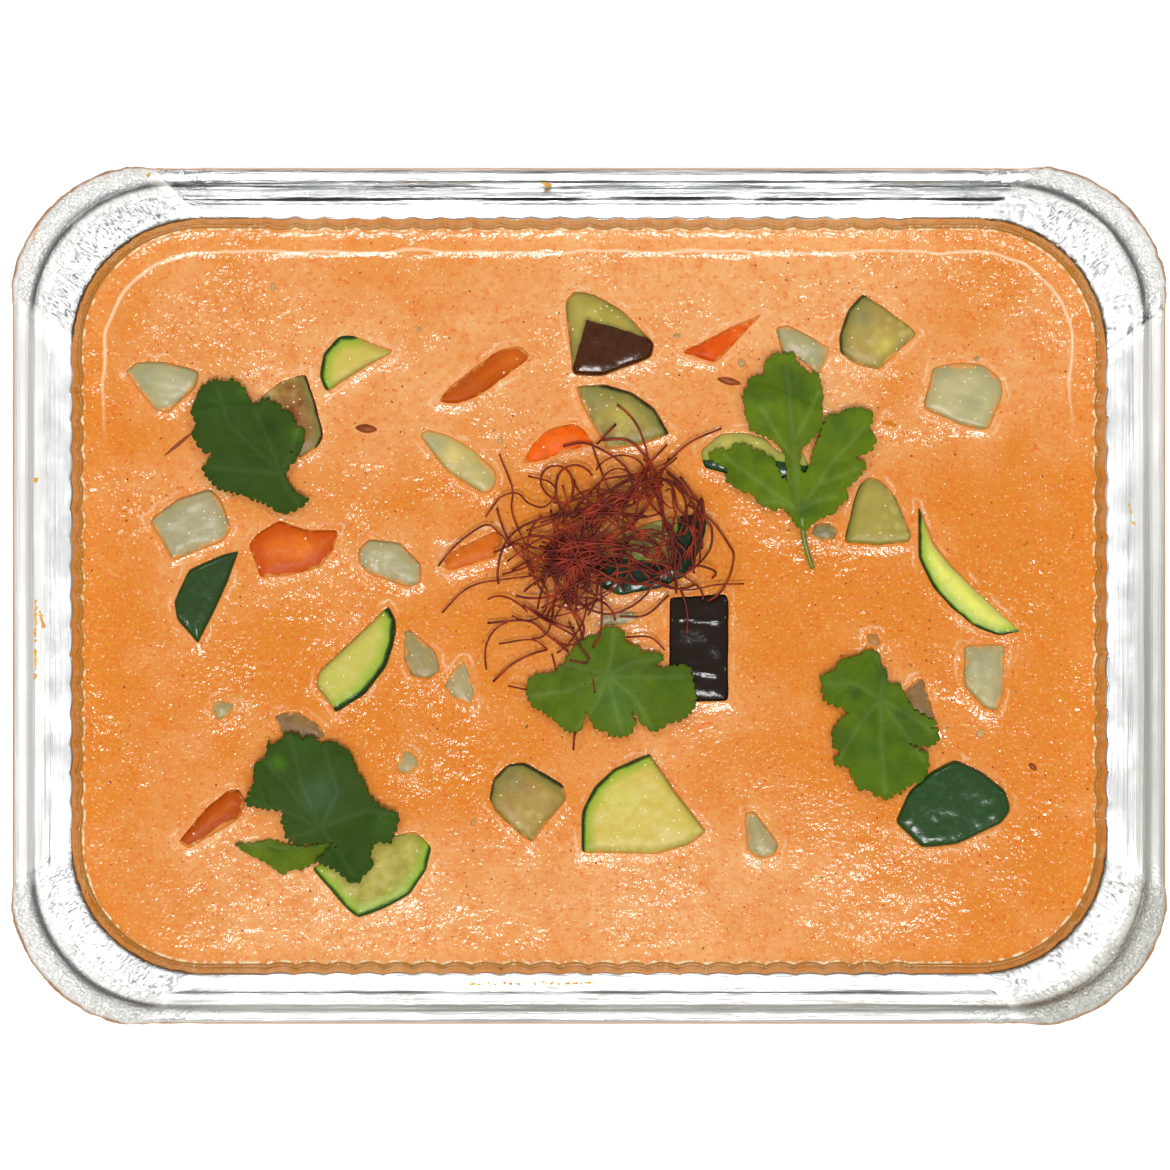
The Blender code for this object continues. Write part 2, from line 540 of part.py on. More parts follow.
def inside(point, corners):
    """Whether a point lies inside an outline."""
    x, y = point
    hit = False
    for (ax, ay), (bx, by) in zip(corners, corners[1:] + corners[:1]):
        if (ay > y) != (by > y) and x < (bx - ax) * (y - ay) / (by - ay) + ax:
            hit = not hit
    return hit


def support_height(point, shapes):
    """Highest thing below a place in the plan."""
    height = SAUCE_LEVEL + SAUCE_SWELL
    for corners, rise, crown, _ in shapes:
        if inside(point, grown(corners, 1.5)):
            height = max(height, SAUCE_LEVEL + rise + crown)
    return height


def smooth_route(points, count):
    """Points along a Catmull-Rom curve through a route's own points."""
    padded = [points[0]] + points + [points[-1]]
    result = []
    for step in range(count):
        place = step / (count - 1) * (len(points) - 1)
        k = min(int(place), len(points) - 2)
        t = place - k
        p0, p1, p2, p3 = (Vector(p) for p in padded[k:k + 4])
        result.append(0.5 * (2 * p1 + (p2 - p0) * t + (2 * p0 - 5 * p1 + 4 * p2 - p3) * t * t
                             + (3 * p1 - p0 - 3 * p2 + p3) * t ** 3))
    return result


def nest_height(x, y):
    """Top of the nest's core, or zero outside it."""
    span = ((x - NEST_CENTRE[0]) / NEST_HALF[0]) ** 2 + ((y - NEST_CENTRE[1]) / NEST_HALF[1]) ** 2
    return NEST_RISE * math.sqrt(max(0.0, 1.0 - span))


def add_thread(route, profile, collection):
    """One chilli thread as a mesh tube along its route."""
    curve = bpy.data.curves.new("thread", "CURVE")
    curve.dimensions = "3D"
    curve.bevel_mode = "OBJECT"
    curve.bevel_object = profile
    curve.use_fill_caps = True
    spline = curve.splines.new("POLY")
    spline.points.add(len(route) - 1)
    for point, place in zip(spline.points, route):
        point.co = (*(place * MM), 1.0)
    guide = bpy.data.objects.new("thread_guide", curve)
    collection.objects.link(guide)
    depsgraph = bpy.context.evaluated_depsgraph_get()
    mesh = bpy.data.meshes.new_from_object(guide.evaluated_get(depsgraph))
    bpy.data.objects.remove(guide)
    bm = bmesh.new()
    bm.from_mesh(mesh)
    bmesh.ops.remove_doubles(bm, verts=bm.verts, dist=0.00001)
    bmesh.ops.recalc_face_normals(bm, faces=bm.faces)
    bpy.data.meshes.remove(mesh)
    return add_object("thread", bm, None, collection)


def thread_section(collection):
    """A small triangle that the threads are drawn with."""
    curve = bpy.data.curves.new("thread_section", "CURVE")
    spline = curve.splines.new("POLY")
    spline.points.add(2)
    spline.use_cyclic_u = True
    for k, point in enumerate(spline.points):
        turn = math.radians(120.0 * k)
        point.co = (THREAD_RADIUS * MM * math.cos(turn), THREAD_RADIUS * MM * math.sin(turn), 0.0, 1.0)
    section = bpy.data.objects.new("thread_section", curve)
    collection.objects.link(section)
    return section


def build_threads(material, collection, shapes):
    """The nest: a low core with the threads that show fused on."""
    draw = random.Random(SEED)
    threads = bpy.data.collections.new("threads")
    bpy.context.scene.collection.children.link(threads)
    bm = bmesh.new()
    bmesh.ops.create_icosphere(bm, subdivisions=2, radius=1.0)
    for vert in bm.verts:
        x = NEST_CENTRE[0] + NEST_HALF[0] * vert.co.x
        y = NEST_CENTRE[1] + NEST_HALF[1] * vert.co.y
        z = NEST_FLOOR + NEST_RISE * max(0.0, vert.co.z) + min(0.0, vert.co.z) * 0.2
        vert.co = Vector((x, y, z)) * MM
    nest = add_object("chilli_threads", bm, material, collection)
    section = thread_section(threads)
    routes = []
    for points in STRANDS:
        routes.append(smooth_route(points, THREAD_POINTS + len(points) - 3))
    for loop in range(NEST_LOOPS):
        turn = 2 * math.pi * (loop + draw.random()) / NEST_LOOPS
        spread = draw.uniform(0.5, 1.2)
        reach = draw.uniform(0.95, 1.3)
        points = []
        for share, bend in ((0.45, -spread), (reach * 0.9, -0.5 * spread), (reach, 0.0),
                            (reach * 0.9, 0.5 * spread), (0.45, spread)):
            x = NEST_CENTRE[0] + NEST_HALF[0] * share * math.cos(turn + bend)
            y = NEST_CENTRE[1] + NEST_HALF[1] * share * math.sin(turn + bend)
            points.append((x, y))
        routes.append(smooth_route(points, THREAD_POINTS))
    tubes = []
    for route in routes:
        arch = draw.uniform(0.0, 2.2)
        line = []
        for k, place in enumerate(route):
            share = math.sin(math.pi * k / (len(route) - 1))
            core = nest_height(place.x, place.y)
            low = support_height((place.x, place.y), shapes) + GAP + THREAD_RADIUS
            height = max(low, NEST_FLOOR + core * 0.9 if core else low) + arch * share
            line.append(Vector((place.x, place.y, height)))
        tubes.append(add_thread(line, section, threads))
    bpy.data.objects.remove(section)
    union = nest.modifiers.new("fuse", "BOOLEAN")
    union.operation = "UNION"
    union.operand_type = "COLLECTION"
    union.collection = threads
    apply_modifiers(nest)
    for tube in tubes:
        bpy.data.objects.remove(tube)
    bpy.data.collections.remove(threads)
    keep_largest(nest)
    return nest


def keep_largest(obj):
    """Drop loose scraps, so that one body is left."""
    bm = bmesh.new()
    bm.from_mesh(obj.data)
    bmesh.ops.triangulate(bm, faces=bm.faces)
    todo = set(bm.verts)
    groups = []
    while todo:
        stack = [todo.pop()]
        group = set(stack)
        while stack:
            for edge in stack.pop().link_edges:
                for vert in edge.verts:
                    if vert not in group:
                        group.add(vert)
                        todo.discard(vert)
                        stack.append(vert)
        groups.append(group)
    largest = max(groups, key=len)
    bmesh.ops.delete(bm, geom=[v for v in bm.verts if v not in largest], context="VERTS")
    bm.to_mesh(obj.data)
    bm.free()


def main():
    for obj in list(bpy.data.objects):
        bpy.data.objects.remove(obj)
    scene = bpy.context.scene.collection
    meal = bpy.data.collections.new("foil_tray_meal")
    cutters = bpy.data.collections.new("pockets")
    scene.children.link(meal)
    scene.children.link(cutters)
    materials = {name: make_material(name) for name in COLOURS}
    build_tray(materials["foil"], meal)
    sauce = build_sauce(materials["sauce"], meal)
    kinds = (("onion", ONIONS), ("carrot", CARROTS), ("aubergine", AUBERGINES),
             ("peel", PEELS), ("courgette", COURGETTES))
    shapes = []
    for kind, group in kinds:
        for count, shape in enumerate(group, 1):
            build_piece(f"{kind}_{count}", shape, materials[kind], meal, cutters)
            shapes.append(shape)
    pockets = sauce.modifiers.new("pockets", "BOOLEAN")
    pockets.operation = "DIFFERENCE"
    pockets.operand_type = "COLLECTION"
    pockets.collection = cutters
    for count, shape in enumerate(LEAVES, 1):
        build_leaf(f"herb_leaf_{count}", shape, materials["leaf"], meal)
    build_threads(materials["chilli"], meal, shapes)


main()
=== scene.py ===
"""Foil tray meal: the looks of a pressed foil tray filled with vegetable curry.

The frame gives every solid at its real place and size. Each operator below makes one
kind of piece over those solids: the foil, the sauce, the vegetables, the herb leaves,
the nest of chilli threads and the small things strewn over the sauce.

Lengths in the tables are millimetres and MM turns them into metres.
"""
import math
import random

import bmesh
import bpy
import numpy as np
from bpy.props import FloatProperty, FloatVectorProperty, IntProperty, PointerProperty
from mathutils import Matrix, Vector
from mathutils.bvhtree import BVHTree
from mathutils.geometry import delaunay_2d_cdt


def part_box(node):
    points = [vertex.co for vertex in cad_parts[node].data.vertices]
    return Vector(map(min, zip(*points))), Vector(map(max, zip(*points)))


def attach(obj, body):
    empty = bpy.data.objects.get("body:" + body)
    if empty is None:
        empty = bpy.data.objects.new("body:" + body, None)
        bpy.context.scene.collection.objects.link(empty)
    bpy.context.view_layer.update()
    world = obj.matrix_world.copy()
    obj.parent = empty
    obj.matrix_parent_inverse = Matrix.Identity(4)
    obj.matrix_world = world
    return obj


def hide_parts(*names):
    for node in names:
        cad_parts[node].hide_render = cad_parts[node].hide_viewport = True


bl_info = {
    "name": "Foil Tray Meal",
    "version": (1, 0, 0),
    "blender": (4, 5, 0),
    "location": "3D View > Sidebar > Tray Meal",
    "description": "Models a foil tray of vegetable curry with herbs and chilli threads",
    "category": "Add Mesh",
}

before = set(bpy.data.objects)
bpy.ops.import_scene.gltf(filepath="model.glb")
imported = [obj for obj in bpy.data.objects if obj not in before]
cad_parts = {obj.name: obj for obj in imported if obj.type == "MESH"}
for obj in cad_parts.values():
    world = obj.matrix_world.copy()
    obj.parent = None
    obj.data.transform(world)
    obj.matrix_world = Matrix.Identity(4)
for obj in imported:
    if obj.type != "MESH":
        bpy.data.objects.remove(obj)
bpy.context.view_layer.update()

MM = 0.001
MERGE = 0.000001
BODY = "root"

# Tray, from the same driving sizes as its solid
TRAY_HALF = np.array((113.3, 84.1))
TRAY_CORNER = 27.0
CORNER_SWELL = 0.7
OPENING_HALF = np.array((101.7, 74.2))
OPENING_CORNER = 25.5
FLANGE_HEIGHT = 30.0
WALL_SLOPE = math.tan(math.radians(15.0))
BASE_CORNER = 19.0
FLUTE_PITCH = 5.78
FLUTED_LONG = 22 * FLUTE_PITCH / 2
FLUTED_SHORT = 16 * FLUTE_PITCH / 2
FLUTE_TOP = 0.45
FLUTE_FOOT = 1.0
COLUMN_SPACING = 0.7
# How sharply the far, left, near and right side are creased
CREASED = (1.0, 0.12, 0.4, 0.2)
# Shares of the way from the opening to the edge
BEAD_START = 0.66
BEAD_MIDDLE = 0.83
BEAD_HEIGHT = 1.6
BEAD_UNDER = 0.85
FLOOR_HEIGHT = 0.4

# Sauce
SAUCE_LEVEL = 25.3
SAUCE_SWELL = 0.3
MENISCUS_RISE = 0.8
MENISCUS_REACH = 1.1
SAUCE_SPACING = 0.61
INTO_FOIL = 0.12
POCKET_FLOOR = 19.0

# Vegetables: the grid their surface is rebuilt on, the pitch of an onion's ribs, and the
# longest distance from a piece that is told apart
VOXEL = 0.5
RIB_PITCH = 2.3
NEARBY = 12.0

SEED = 11
# Places of a Mix node's colour sockets
FACTOR, COLOUR_A, COLOUR_B = 0, 6, 7


def linear(code):
    """An sRGB hex colour as linear RGBA."""
    parts = [int(code[k:k + 2], 16) / 255 for k in (1, 3, 5)]
    curve = [part / 12.92 if part <= 0.04045 else ((part + 0.055) / 1.055) ** 2.4 for part in parts]
    return (*curve, 1.0)


# Flesh and skin of each vegetable piece. A skin runs along the outline, turning left,
# from one place to the other, as wide as the last number; an area is a patch of skin.
ONIONS = {
    1: "#afa97a", 2: "#e0c66a", 3: "#a9a070", 4: "#bab07a", 5: "#5a5430", 6: "#b4a977", 7: "#a89c72",
    8: "#ada375", 9: "#a68d4e", 10: "#a79865", 11: "#b8a070", 12: "#99844d", 13: "#b09c6c", 14: "#8f8560",
}
CARROTS = {1: "#ba520a", 2: "#f4640b", 3: "#e45408", 4: "#c8500a", 5: "#b04a08", 6: "#d56d1e", 7: "#cf7a1e"}
AUBERGINES = {
    1: ("#8a441c", "#4c2814", ((-53.3, 29), (-55.6, 44.2)), 0.9),
    2: ("#a09238", "#482206", [(-0.2, 54), (-3.4, 43.2), (2.6, 42.8), (13, 46.6), (13.6, 49.9)], 0.4),
    3: ("#937f37", "#2c2c1c", ((16.1, 31.8), (3, 41.8)), 1.2),
    4: ("#a88d42", "#3c4020", ((54, 59.6), (49.2, 47.8)), 1.0),
    5: ("#a09340", "#5c6026", ((53.2, 22.6), (50, 10.3)), 0.5),
    6: ("#a3803a", "#3c3a22", ((-4.8, -37), (-19.8, -40)), 0.9),
    7: ("#28190d", "#1e130a", [(10, 5), (10, -26), (32, -26), (32, 5)], 0.4),
}
# The skin of aubergine_7 is folded along these two lines across the tray
FOLDS = (-4.5, -14.9)
PEELS = {1: "#8a6838", 2: "#af7735", 3: "#906b3c"}
COURGETTES = {
    1: ("#cab64d", "#22401a", ((-46.4, 51.7), (-51.9, 39.9)), 1.0),
    2: ("#b0aa4b", "#1f3c22", [(20, 26.4), (24, 21), (42, 20), (46, 25), (43, 25.4), (34, 26.6)], 0.4),
    3: ("#e4e667", "#1f3818", ((64.9, 18.2), (86.8, -7.5)), 0.9),
    4: ("#c3c468", "#2d4520", [(-90, 12), (-90, -14), (-66, -14), (-66, 12)], 0.4),
    5: ("#c0ba50", "#1f3818", ((-49.9, -23.2), (-39.4, -1.6)), 1.1),
    6: ("#9d9335", "#2c5018", ((-55.1, -53.6), (-30.6, -49.5)), 1.1),
    7: ("#ccb448", "#24421a", ((12, -31), (-1.9, -51)), 1.0),
    8: ("#c3c468", "#294722", [(56, -28), (56, -54), (88, -54), (88, -28)], 0.4),
    9: ("#a09a48", "#1f3320", [(-2, 8), (2, -4), (26, 1), (28, 20), (18, 18), (17, 6)], 0.4),
}

# The photo's pixels in millimetres, and the pixel over the middle of the tray
PHOTO_PIXEL = 0.1965
PHOTO_MIDDLE = (589.0, 596.0)
# Outlines of the herb leaves as they show in the photo, in its pixels
LEAF_OUTLINES = {
    1: [
        (207, 382), (215, 379), (222, 383), (232, 379), (238, 384), (245, 389), (247, 396), (252.5, 406),
        (259, 400), (267, 398), (272, 403), (278, 403), (281, 409.5), (290, 412), (293, 419), (296, 426),
        (303, 430), (304, 438), (301.5, 447), (298, 456), (289, 465.5), (284, 476), (287, 482), (293, 490),
        (300, 496), (308, 497.5), (305, 504), (295, 510), (282, 514), (274, 510), (266, 504), (255, 500),
        (241, 495), (228, 491), (216, 488), (211, 481), (205, 475), (201.5, 468), (208, 461), (212.5, 454),
        (203, 451), (196, 444), (191.5, 432), (196, 424), (193, 418), (190, 410), (194, 403), (195, 397),
        (200, 388)],
    2: [
        (785, 453), (778, 444), (770, 438), (757, 433), (751, 430), (751, 423), (745, 415), (746, 407),
        (743, 397), (747, 387.5), (750, 378), (757, 375), (763.5, 377), (765, 363), (774, 353), (783, 354),
        (793, 354), (797, 363), (804, 368), (805, 373), (818, 373), (823, 394), (822, 404), (823, 420),
        (821, 430), (810, 440), (801, 450), (799.5, 459), (801, 470), (805, 474), (811, 464), (814.5, 448),
        (819, 438), (824, 427), (828, 415), (841.5, 413.5), (843, 410), (854, 407), (864.5, 408),
        (872, 412), (874, 418), (868, 430), (877, 438), (872, 450), (855, 458), (868, 464), (858, 478),
        (845, 490), (849, 496), (838.5, 507), (832, 514.5), (820, 518), (810, 527), (803, 530), (796, 524),
        (789.5, 513), (782, 507), (776, 510), (759, 504), (753, 493), (742, 491.5), (727, 481), (727, 472),
        (731, 467), (721, 467), (708, 455), (720, 448), (731, 453), (731, 447), (737.5, 443), (751, 446),
        (753.5, 452), (759, 449), (774, 459), (783, 479), (788, 482), (787, 470), (786, 458)],
    3: [
        (611, 627), (618, 628), (623.5, 632), (625, 639), (632, 646), (639, 647), (643, 652), (659, 653),
        (664, 656), (663, 661), (652, 666), (659, 669), (674.5, 666), (689, 666), (691, 671), (694, 685),
        (697, 698), (694, 703), (695, 708), (689, 714.5), (681, 721), (668, 723), (662, 728.5), (654, 732),
        (643, 725), (638, 717), (630, 709), (636, 721), (631, 734), (622, 737), (609.5, 736), (606, 730),
        (598, 731), (593, 726), (589, 717), (586.5, 710), (583, 725), (579.5, 732), (574, 733), (566, 731),
        (562, 726), (548, 716), (543, 711), (535.5, 709), (530, 703), (527, 694), (527, 688), (529, 679),
        (535.5, 675), (552, 674), (557, 671), (560, 666), (566, 663.5), (567, 657), (572.5, 652),
        (574, 646), (581, 640.5), (598, 634), (603, 628)],
    4: [
        (870.5, 650), (879, 654), (881, 662), (883, 669), (887, 669), (888, 676), (888, 683), (900, 684),
        (903, 689), (908, 703), (917, 712), (926, 717), (939, 723.5), (932, 728), (939, 730), (939, 741),
        (932, 746), (922.5, 747), (908, 742.5), (915, 748), (922.5, 751), (928, 755), (930, 766),
        (927, 769), (929, 773), (925, 780), (908, 786), (901, 794.5), (895, 793), (892, 798), (887, 800),
        (882, 796), (877, 797), (870.5, 790), (858.5, 790), (856, 782), (852, 778), (851, 771), (847, 766),
        (836, 765), (835, 759), (840, 753), (834, 748), (834, 741), (832.5, 733), (837, 725), (843, 718),
        (850, 714), (843, 708), (836, 706), (829, 703), (824, 701), (826, 696), (822, 692), (823, 685.5),
        (821, 676), (837, 669), (838, 663), (843, 659.5), (861, 655)],
    5: [
        (286, 733), (293, 734.5), (298, 734), (301, 741), (305, 738), (313.5, 738), (318, 743), (334, 742),
        (341, 747), (349, 751.5), (353, 759), (357, 773), (364, 781), (366, 791.5), (374, 801),
        (382.5, 808.5), (397, 813), (398, 819), (397, 827), (393, 834), (390, 844), (382.5, 842),
        (370, 844), (372, 848), (369, 857), (372, 864), (369, 871.5), (362, 876), (359.5, 884), (353, 883),
        (346, 880), (338, 871.5), (328, 867), (315, 861), (328, 850), (334, 842), (309, 845), (298, 845),
        (287, 840), (282, 829), (281, 823), (284, 812), (273.5, 810), (263, 808.5), (247, 806), (244, 802),
        (249, 798), (248, 793), (254, 785), (253, 772), (256.5, 762), (264, 759), (267, 750), (267, 740),
        (270, 745), (277, 743), (282, 738)],
    6: [
        (234, 843), (244, 845), (255, 844), (265, 841), (273.5, 841), (281, 845), (298, 847), (310, 847),
        (322, 844), (335, 842), (332, 848), (322, 854.5), (315, 862), (305, 868), (298, 870), (290, 870),
        (284, 875), (276, 871.5), (267, 864), (256.5, 859), (244, 853), (237, 847)],
}

# Herb leaves: blade colour, the place where the veins meet, and the main veins from there
LEAVES = {
    1: ("#374e14", (-60.7, 24.2), [
        [(-65.5, 28.6), (-70.8, 33.7), (-73.2, 41)], [(-58.6, 28), (-57.2, 33.4)],
        [(-63.2, 31), (-66, 36.5)], [(-68, 24.6), (-74.4, 25.2)], [(-59.4, 21), (-57.4, 18.4)]]),
    2: ("#607711", (41.7, 16.8), [
        [(40.4, 21), (40.1, 32.3), (38.9, 45)], [(47.9, 26.2), (54.2, 33.2)],
        [(34.4, 21.7), (26.6, 27.6)], [(40.1, 27), (33.6, 37.4)], [(40.2, 30), (45.2, 40)],
        [(44.6, 21.6), (53, 25)], [(44.5, 18.6), (48.5, 19.5)], [(37, 18.6), (32, 18)]]),
    3: ("#596e16", (3.6, -15.6), [
        [(-4.3, -13.5), (-8.6, -15.4)], [(9, -16), (18.6, -16)], [(-4, -18.6), (-11.4, -19.8)],
        [(1.6, -21), (-2.4, -26)], [(5, -21), (6.4, -26.8)], [(9, -20), (12.4, -26)],
        [(4.6, -11), (4.8, -7)], [(9, -13), (13.8, -12.4)]]),
    4: ("#556f13", (57.3, -20.2), [
        [(58, -15.7), (56.4, -11.6)], [(52, -17.2), (46.8, -17.4)], [(63, -23.6), (67.8, -26.8)],
        [(57.6, -30), (58.3, -38.8)], [(53, -26), (49.2, -32)], [(62, -27), (66, -32.6)]]),
    5: ("#364d15", (-52.8, -45.7), [
        [(-59.4, -37.5), (-64.4, -32)], [(-56.4, -38), (-58.9, -27.6)], [(-49.5, -38.5), (-52, -30)],
        [(-44, -42.4), (-38.4, -43)], [(-49, -50.6), (-46.4, -55.2)], [(-61, -42), (-66.4, -40.6)],
        [(-56, -46.6), (-59, -47.6)]]),
    6: ("#627616", (-50.6, -48.9), [[(-60, -49.6), (-69, -48.7)]]),
}
STEMS = {
    2: [(41.9, 15.6), (42.3, 11.5), (43.2, 8), (44.1, 5.4)],
}

# Leaf margins: the step between points, and the length and height of a tooth
LEAF_STEP = 0.27
TOOTH_LENGTH = 1.6
TOOTH_HEIGHT = 0.68
LEAF_GRID = 0.55
STEM_HEIGHT = 27.4

# Chilli threads that reach out of the nest, as routes in the plan
THREAD_ROUTES = (
    [(-29.7, 5.9), (-26, 10.2), (-20.4, 14), (-17.7, 12.4), (-15.5, 9.8)],
    [(-17.7, 27.9), (-15.1, 21.2), (-15.1, 16.3), (-12, 9)],
    [(-20.4, 15.5), (-17.3, 19.5), (-14, 20.2), (-12, 18.3), (-8.8, 17.5), (-6.5, 20.2), (-7.7, 22.4),
     (-12, 23.6)],
    [(-5.1, 29.5), (0, 29.9), (7.3, 25.2), (9, 18)],
    [(1.6, 29.9), (5.3, 33.8)],
    [(2.4, 30.7), (7.3, 30.7), (10.4, 28.3), (12.8, 24.8), (14, 18)],
    [(14.9, 25.9), (20, 30.3), (26.1, 33)],
    [(19.6, 17.9), (24.2, 14.7), (27.7, 9.8), (28.5, 7.9), (27.7, 3.9), (25.7, 0.6), (23.4, -1)],
    [(19.6, 5.5), (22, 5.9), (25, 4.7), (24.2, 3.5)],
    [(30.5, 2.4), (25, 2.2), (18.9, 1.2), (13, 3)],
    [(-28.9, -3.3), (-25.2, 0.6), (-22, 2.4), (-18, 3.1), (-11, 4)],
    [(-20, -5.3), (-12, -4.9), (-8.1, -7.7), (-4, -11)],
    [(-17.7, -9.4), (-11.2, -8.6), (-8.1, -10.6)],
    [(-18.9, -16.9), (-15.1, -13.4), (-11.2, -11.4), (-8.4, -10.6)],
    [(-15.9, -17.7), (-12, -18.5)],
    [(-7.3, -11.4), (-6.5, -14.5)],
    [(-2.8, -26.9), (-3.1, -30.3)],
    [(-3.9, -12.6), (-0.4, -13.2), (0, -12.2), (-1.6, -10.2), (-4, -5)],
    [(2.4, 3.5), (2.4, -6.5), (0.8, -10.2)],
    [(7.3, -8.1), (12, -8.1), (14.9, -10.6)],
    [(15.7, 0.2), (11.2, -3.7), (6, -4)],
    [(18.1, 1.2), (19.3, -2.9), (19.3, -7.7)],
)
# Hanks that most threads run in: start, end, spread and sideways bow, and the threads in each
NEST_HANKS = (
    ((14, 25), (-9, 11), 3.6, 1.5, 15),
    ((16, 23), (-4, 13), 3.6, -3.0, 7),
    ((17.5, 24), (19.5, 6), 1.8, 1.0, 9),
    ((11, 23), (16, 7), 3.6, 2.5, 7),
    ((-12, 8), (15, 5), 4.0, 2.0, 12),
    ((-11, 11), (5, 8), 4.8, -1.5, 6),
    ((-5, 15), (-6, -3), 5.2, 2.0, 12),
    ((0, 12), (-2, -3), 4.6, -2.5, 7),
    ((7, 13), (17, 4), 3.2, 2.0, 11),
    ((-10, 3), (3, 6), 4.6, 2.0, 6),
)
# Heaps that looser threads lie in: middle, half sizes and threads
NEST_HEAPS = ((1, 13, 13, 11, 20), (11, 15, 9, 10, 18), (-6, 3, 7, 6, 14), (-9, -3, 8, 6, 9))
NEST_CENTRE = (4.0, 10.0)
NEST_HALF = (20.0, 17.0)
NEST_FLOOR = 26.9
NEST_RISE = 2.6
CORE_CENTRE = (-4.0, 8.5)
CORE_HALF = (5.0, 3.0)
THREAD_STEP = 0.8

# Patches of another colour on some pieces: middle and radius in the photo's pixels, colour
PATCHES = {
    "onion_1": [((140, 380), 12, "#98966c"), ((170, 408), 8, "#b8ac70")],
    "onion_2": [((482, 470), 12, "#cdbc60"), ((434, 442), 12, "#b4ae80")],
    "carrot_1": [((512, 358), 12, "#cc6418"), ((465, 385), 10, "#ae4e10")],
    "carrot_3": [((738, 336), 9, "#ee6618"), ((700, 352), 9, "#cc4c0e")],
    "carrot_4": [((300, 546), 11, "#ea7a1a"), ((318, 560), 8, "#c44a10")],
    "aubergine_1": [((302, 397), 15, "#7a3a16"), ((288, 424), 12, "#8a4a20"), ((320, 440), 9, "#80705a"),
                    ((266, 392), 9, "#b89e6c")],
    "aubergine_2": [((573, 345), 7, "#7c7238"), ((592, 316), 9, "#b8a83c"), ((640, 330), 8, "#8a8040")],
    "aubergine_3": [((592, 396), 13, "#82804a"), ((624, 414), 12, "#bcb04a"), ((600, 441), 8, "#8e7a58")],
    "aubergine_4": [((862, 318), 13, "#848048"), ((886, 345), 10, "#c8ba50")],
    "aubergine_6": [((512, 782), 13, "#7e7040"), ((532, 806), 10, "#a88e40")],
    "courgette_7": [((590, 846), 6, "#b07830"), ((620, 800), 16, "#c8c048"), ((664, 836), 14, "#cdb85c")],
    "herb_leaf_1": [((218, 402), 22, "#375418"), ((226, 474), 20, "#344c1c"), ((268, 427), 9, "#28400f"),
                    ((296, 432), 9, "#446414"), ((242, 392), 7, "#406014")],
    "herb_leaf_2": [((764, 408), 14, "#66821a"), ((800, 392), 10, "#4c6812"), ((840, 432), 14, "#54701a"),
                    ((812, 510), 10, "#4c6812")],
    "herb_leaf_3": [((600, 648), 12, "#526e14"), ((618, 700), 24, "#56762a"), ((672, 682), 14, "#4a6a14")],
    "herb_leaf_4": [((856, 694), 8, "#3c5414"), ((905, 714), 9, "#44601a"), ((872, 750), 14, "#4e6e1a")],
    "herb_leaf_5": [((320, 795), 20, "#44603a"), ((277, 763), 8, "#487018"), ((346, 862), 14, "#2c4814"),
                    ((302, 746), 11, "#3c6018"), ((384, 822), 12, "#3a5c1a")],
}
# Where the sauce glitters most: the photo's pixel and the reach in millimetres
LIVELY = (
    ((175, 330), 9.0), ((260, 350), 12.0), ((86, 370), 6.0), ((558, 350), 7.0), ((690, 322), 8.0),
    ((855, 385), 9.0), ((222, 925), 9.0), ((430, 700), 7.0))
# Crumbs, brown bits and spills, in the photo's pixels
CRUMBS = (
    (418, 329), (742, 362), (272, 286), (500, 440), (677, 335), (473, 823), (982, 734), (978, 358),
    (405, 760))
BROWN_BITS = (
    ((718, 378), (741, 383), 1.5), ((355, 427), (376, 429), 1.8), ((163, 455), (192, 431), 0.7),
    ((1031, 764), (1038, 771), 1.2))
# Start, end, drops and their size in millimetres
SPILLS = (
    ((35, 600), (35, 680), 60, 0.7), ((40, 612), (44, 628), 8, 1.0), ((36, 476), (36, 484), 6, 0.9),
    ((544, 184), (550, 186), 8, 1.0), ((470, 984), (600, 983), 50, 0.7), ((1128, 500), (1135, 530), 10, 0.7),
    ((39, 225), (34, 240), 8, 0.6), ((147, 174), (150, 177), 5, 0.7))


class TrayMealSizes(bpy.types.PropertyGroup):
    """Sizes of the tray and its food."""

    foil: FloatProperty(name="Foil", description="Thickness of the foil", default=0.3 * MM, unit="LENGTH")
    crinkle: FloatProperty(
        name="Crinkle", description="Depth of the folds in the corners", default=0.34 * MM, unit="LENGTH")
    ripple: FloatProperty(
        name="Ripple", description="Height of the sauce's small waves", default=0.09 * MM, unit="LENGTH")
    lip: FloatProperty(
        name="Lip", description="How far the sauce climbs on the vegetables", default=0.3 * MM,
        unit="LENGTH")
    leaf: FloatProperty(name="Leaf", description="Thickness of a leaf", default=0.3 * MM, unit="LENGTH")
    thread: FloatProperty(
        name="Thread", description="Radius of a chilli thread", default=0.22 * MM, unit="LENGTH")
    fullness: FloatProperty(
        name="Fullness", description="How many threads lie in the nest, 1 as photographed", default=1.0,
        min=0.1)
    flecks: IntProperty(name="Flecks", description="Spice flecks on the sauce", default=420, min=0)


class TrayMealColours(bpy.types.PropertyGroup):
    """Colours of the tray and its food."""

    foil: FloatVectorProperty(
        name="Foil", description="Bare foil", subtype="COLOR", size=4, default=linear("#f2f3f2"))
    sauce: FloatVectorProperty(
        name="Sauce", description="Curry sauce", subtype="COLOR", size=4, default=linear("#df8424"))
    chilli: FloatVectorProperty(
        name="Chilli", description="Dried chilli", subtype="COLOR", size=4, default=linear("#66190f"))


def deselect_all():
    """Leave every object unselected, in object mode."""
    if bpy.context.object and bpy.context.object.mode != "OBJECT":
        bpy.ops.object.mode_set(mode="OBJECT")
    bpy.ops.object.select_all(action="DESELECT")


def take(obj):
    """Make one object the only selected and the active one."""
    deselect_all()
    obj.select_set(True)
    bpy.context.view_layer.objects.active = obj


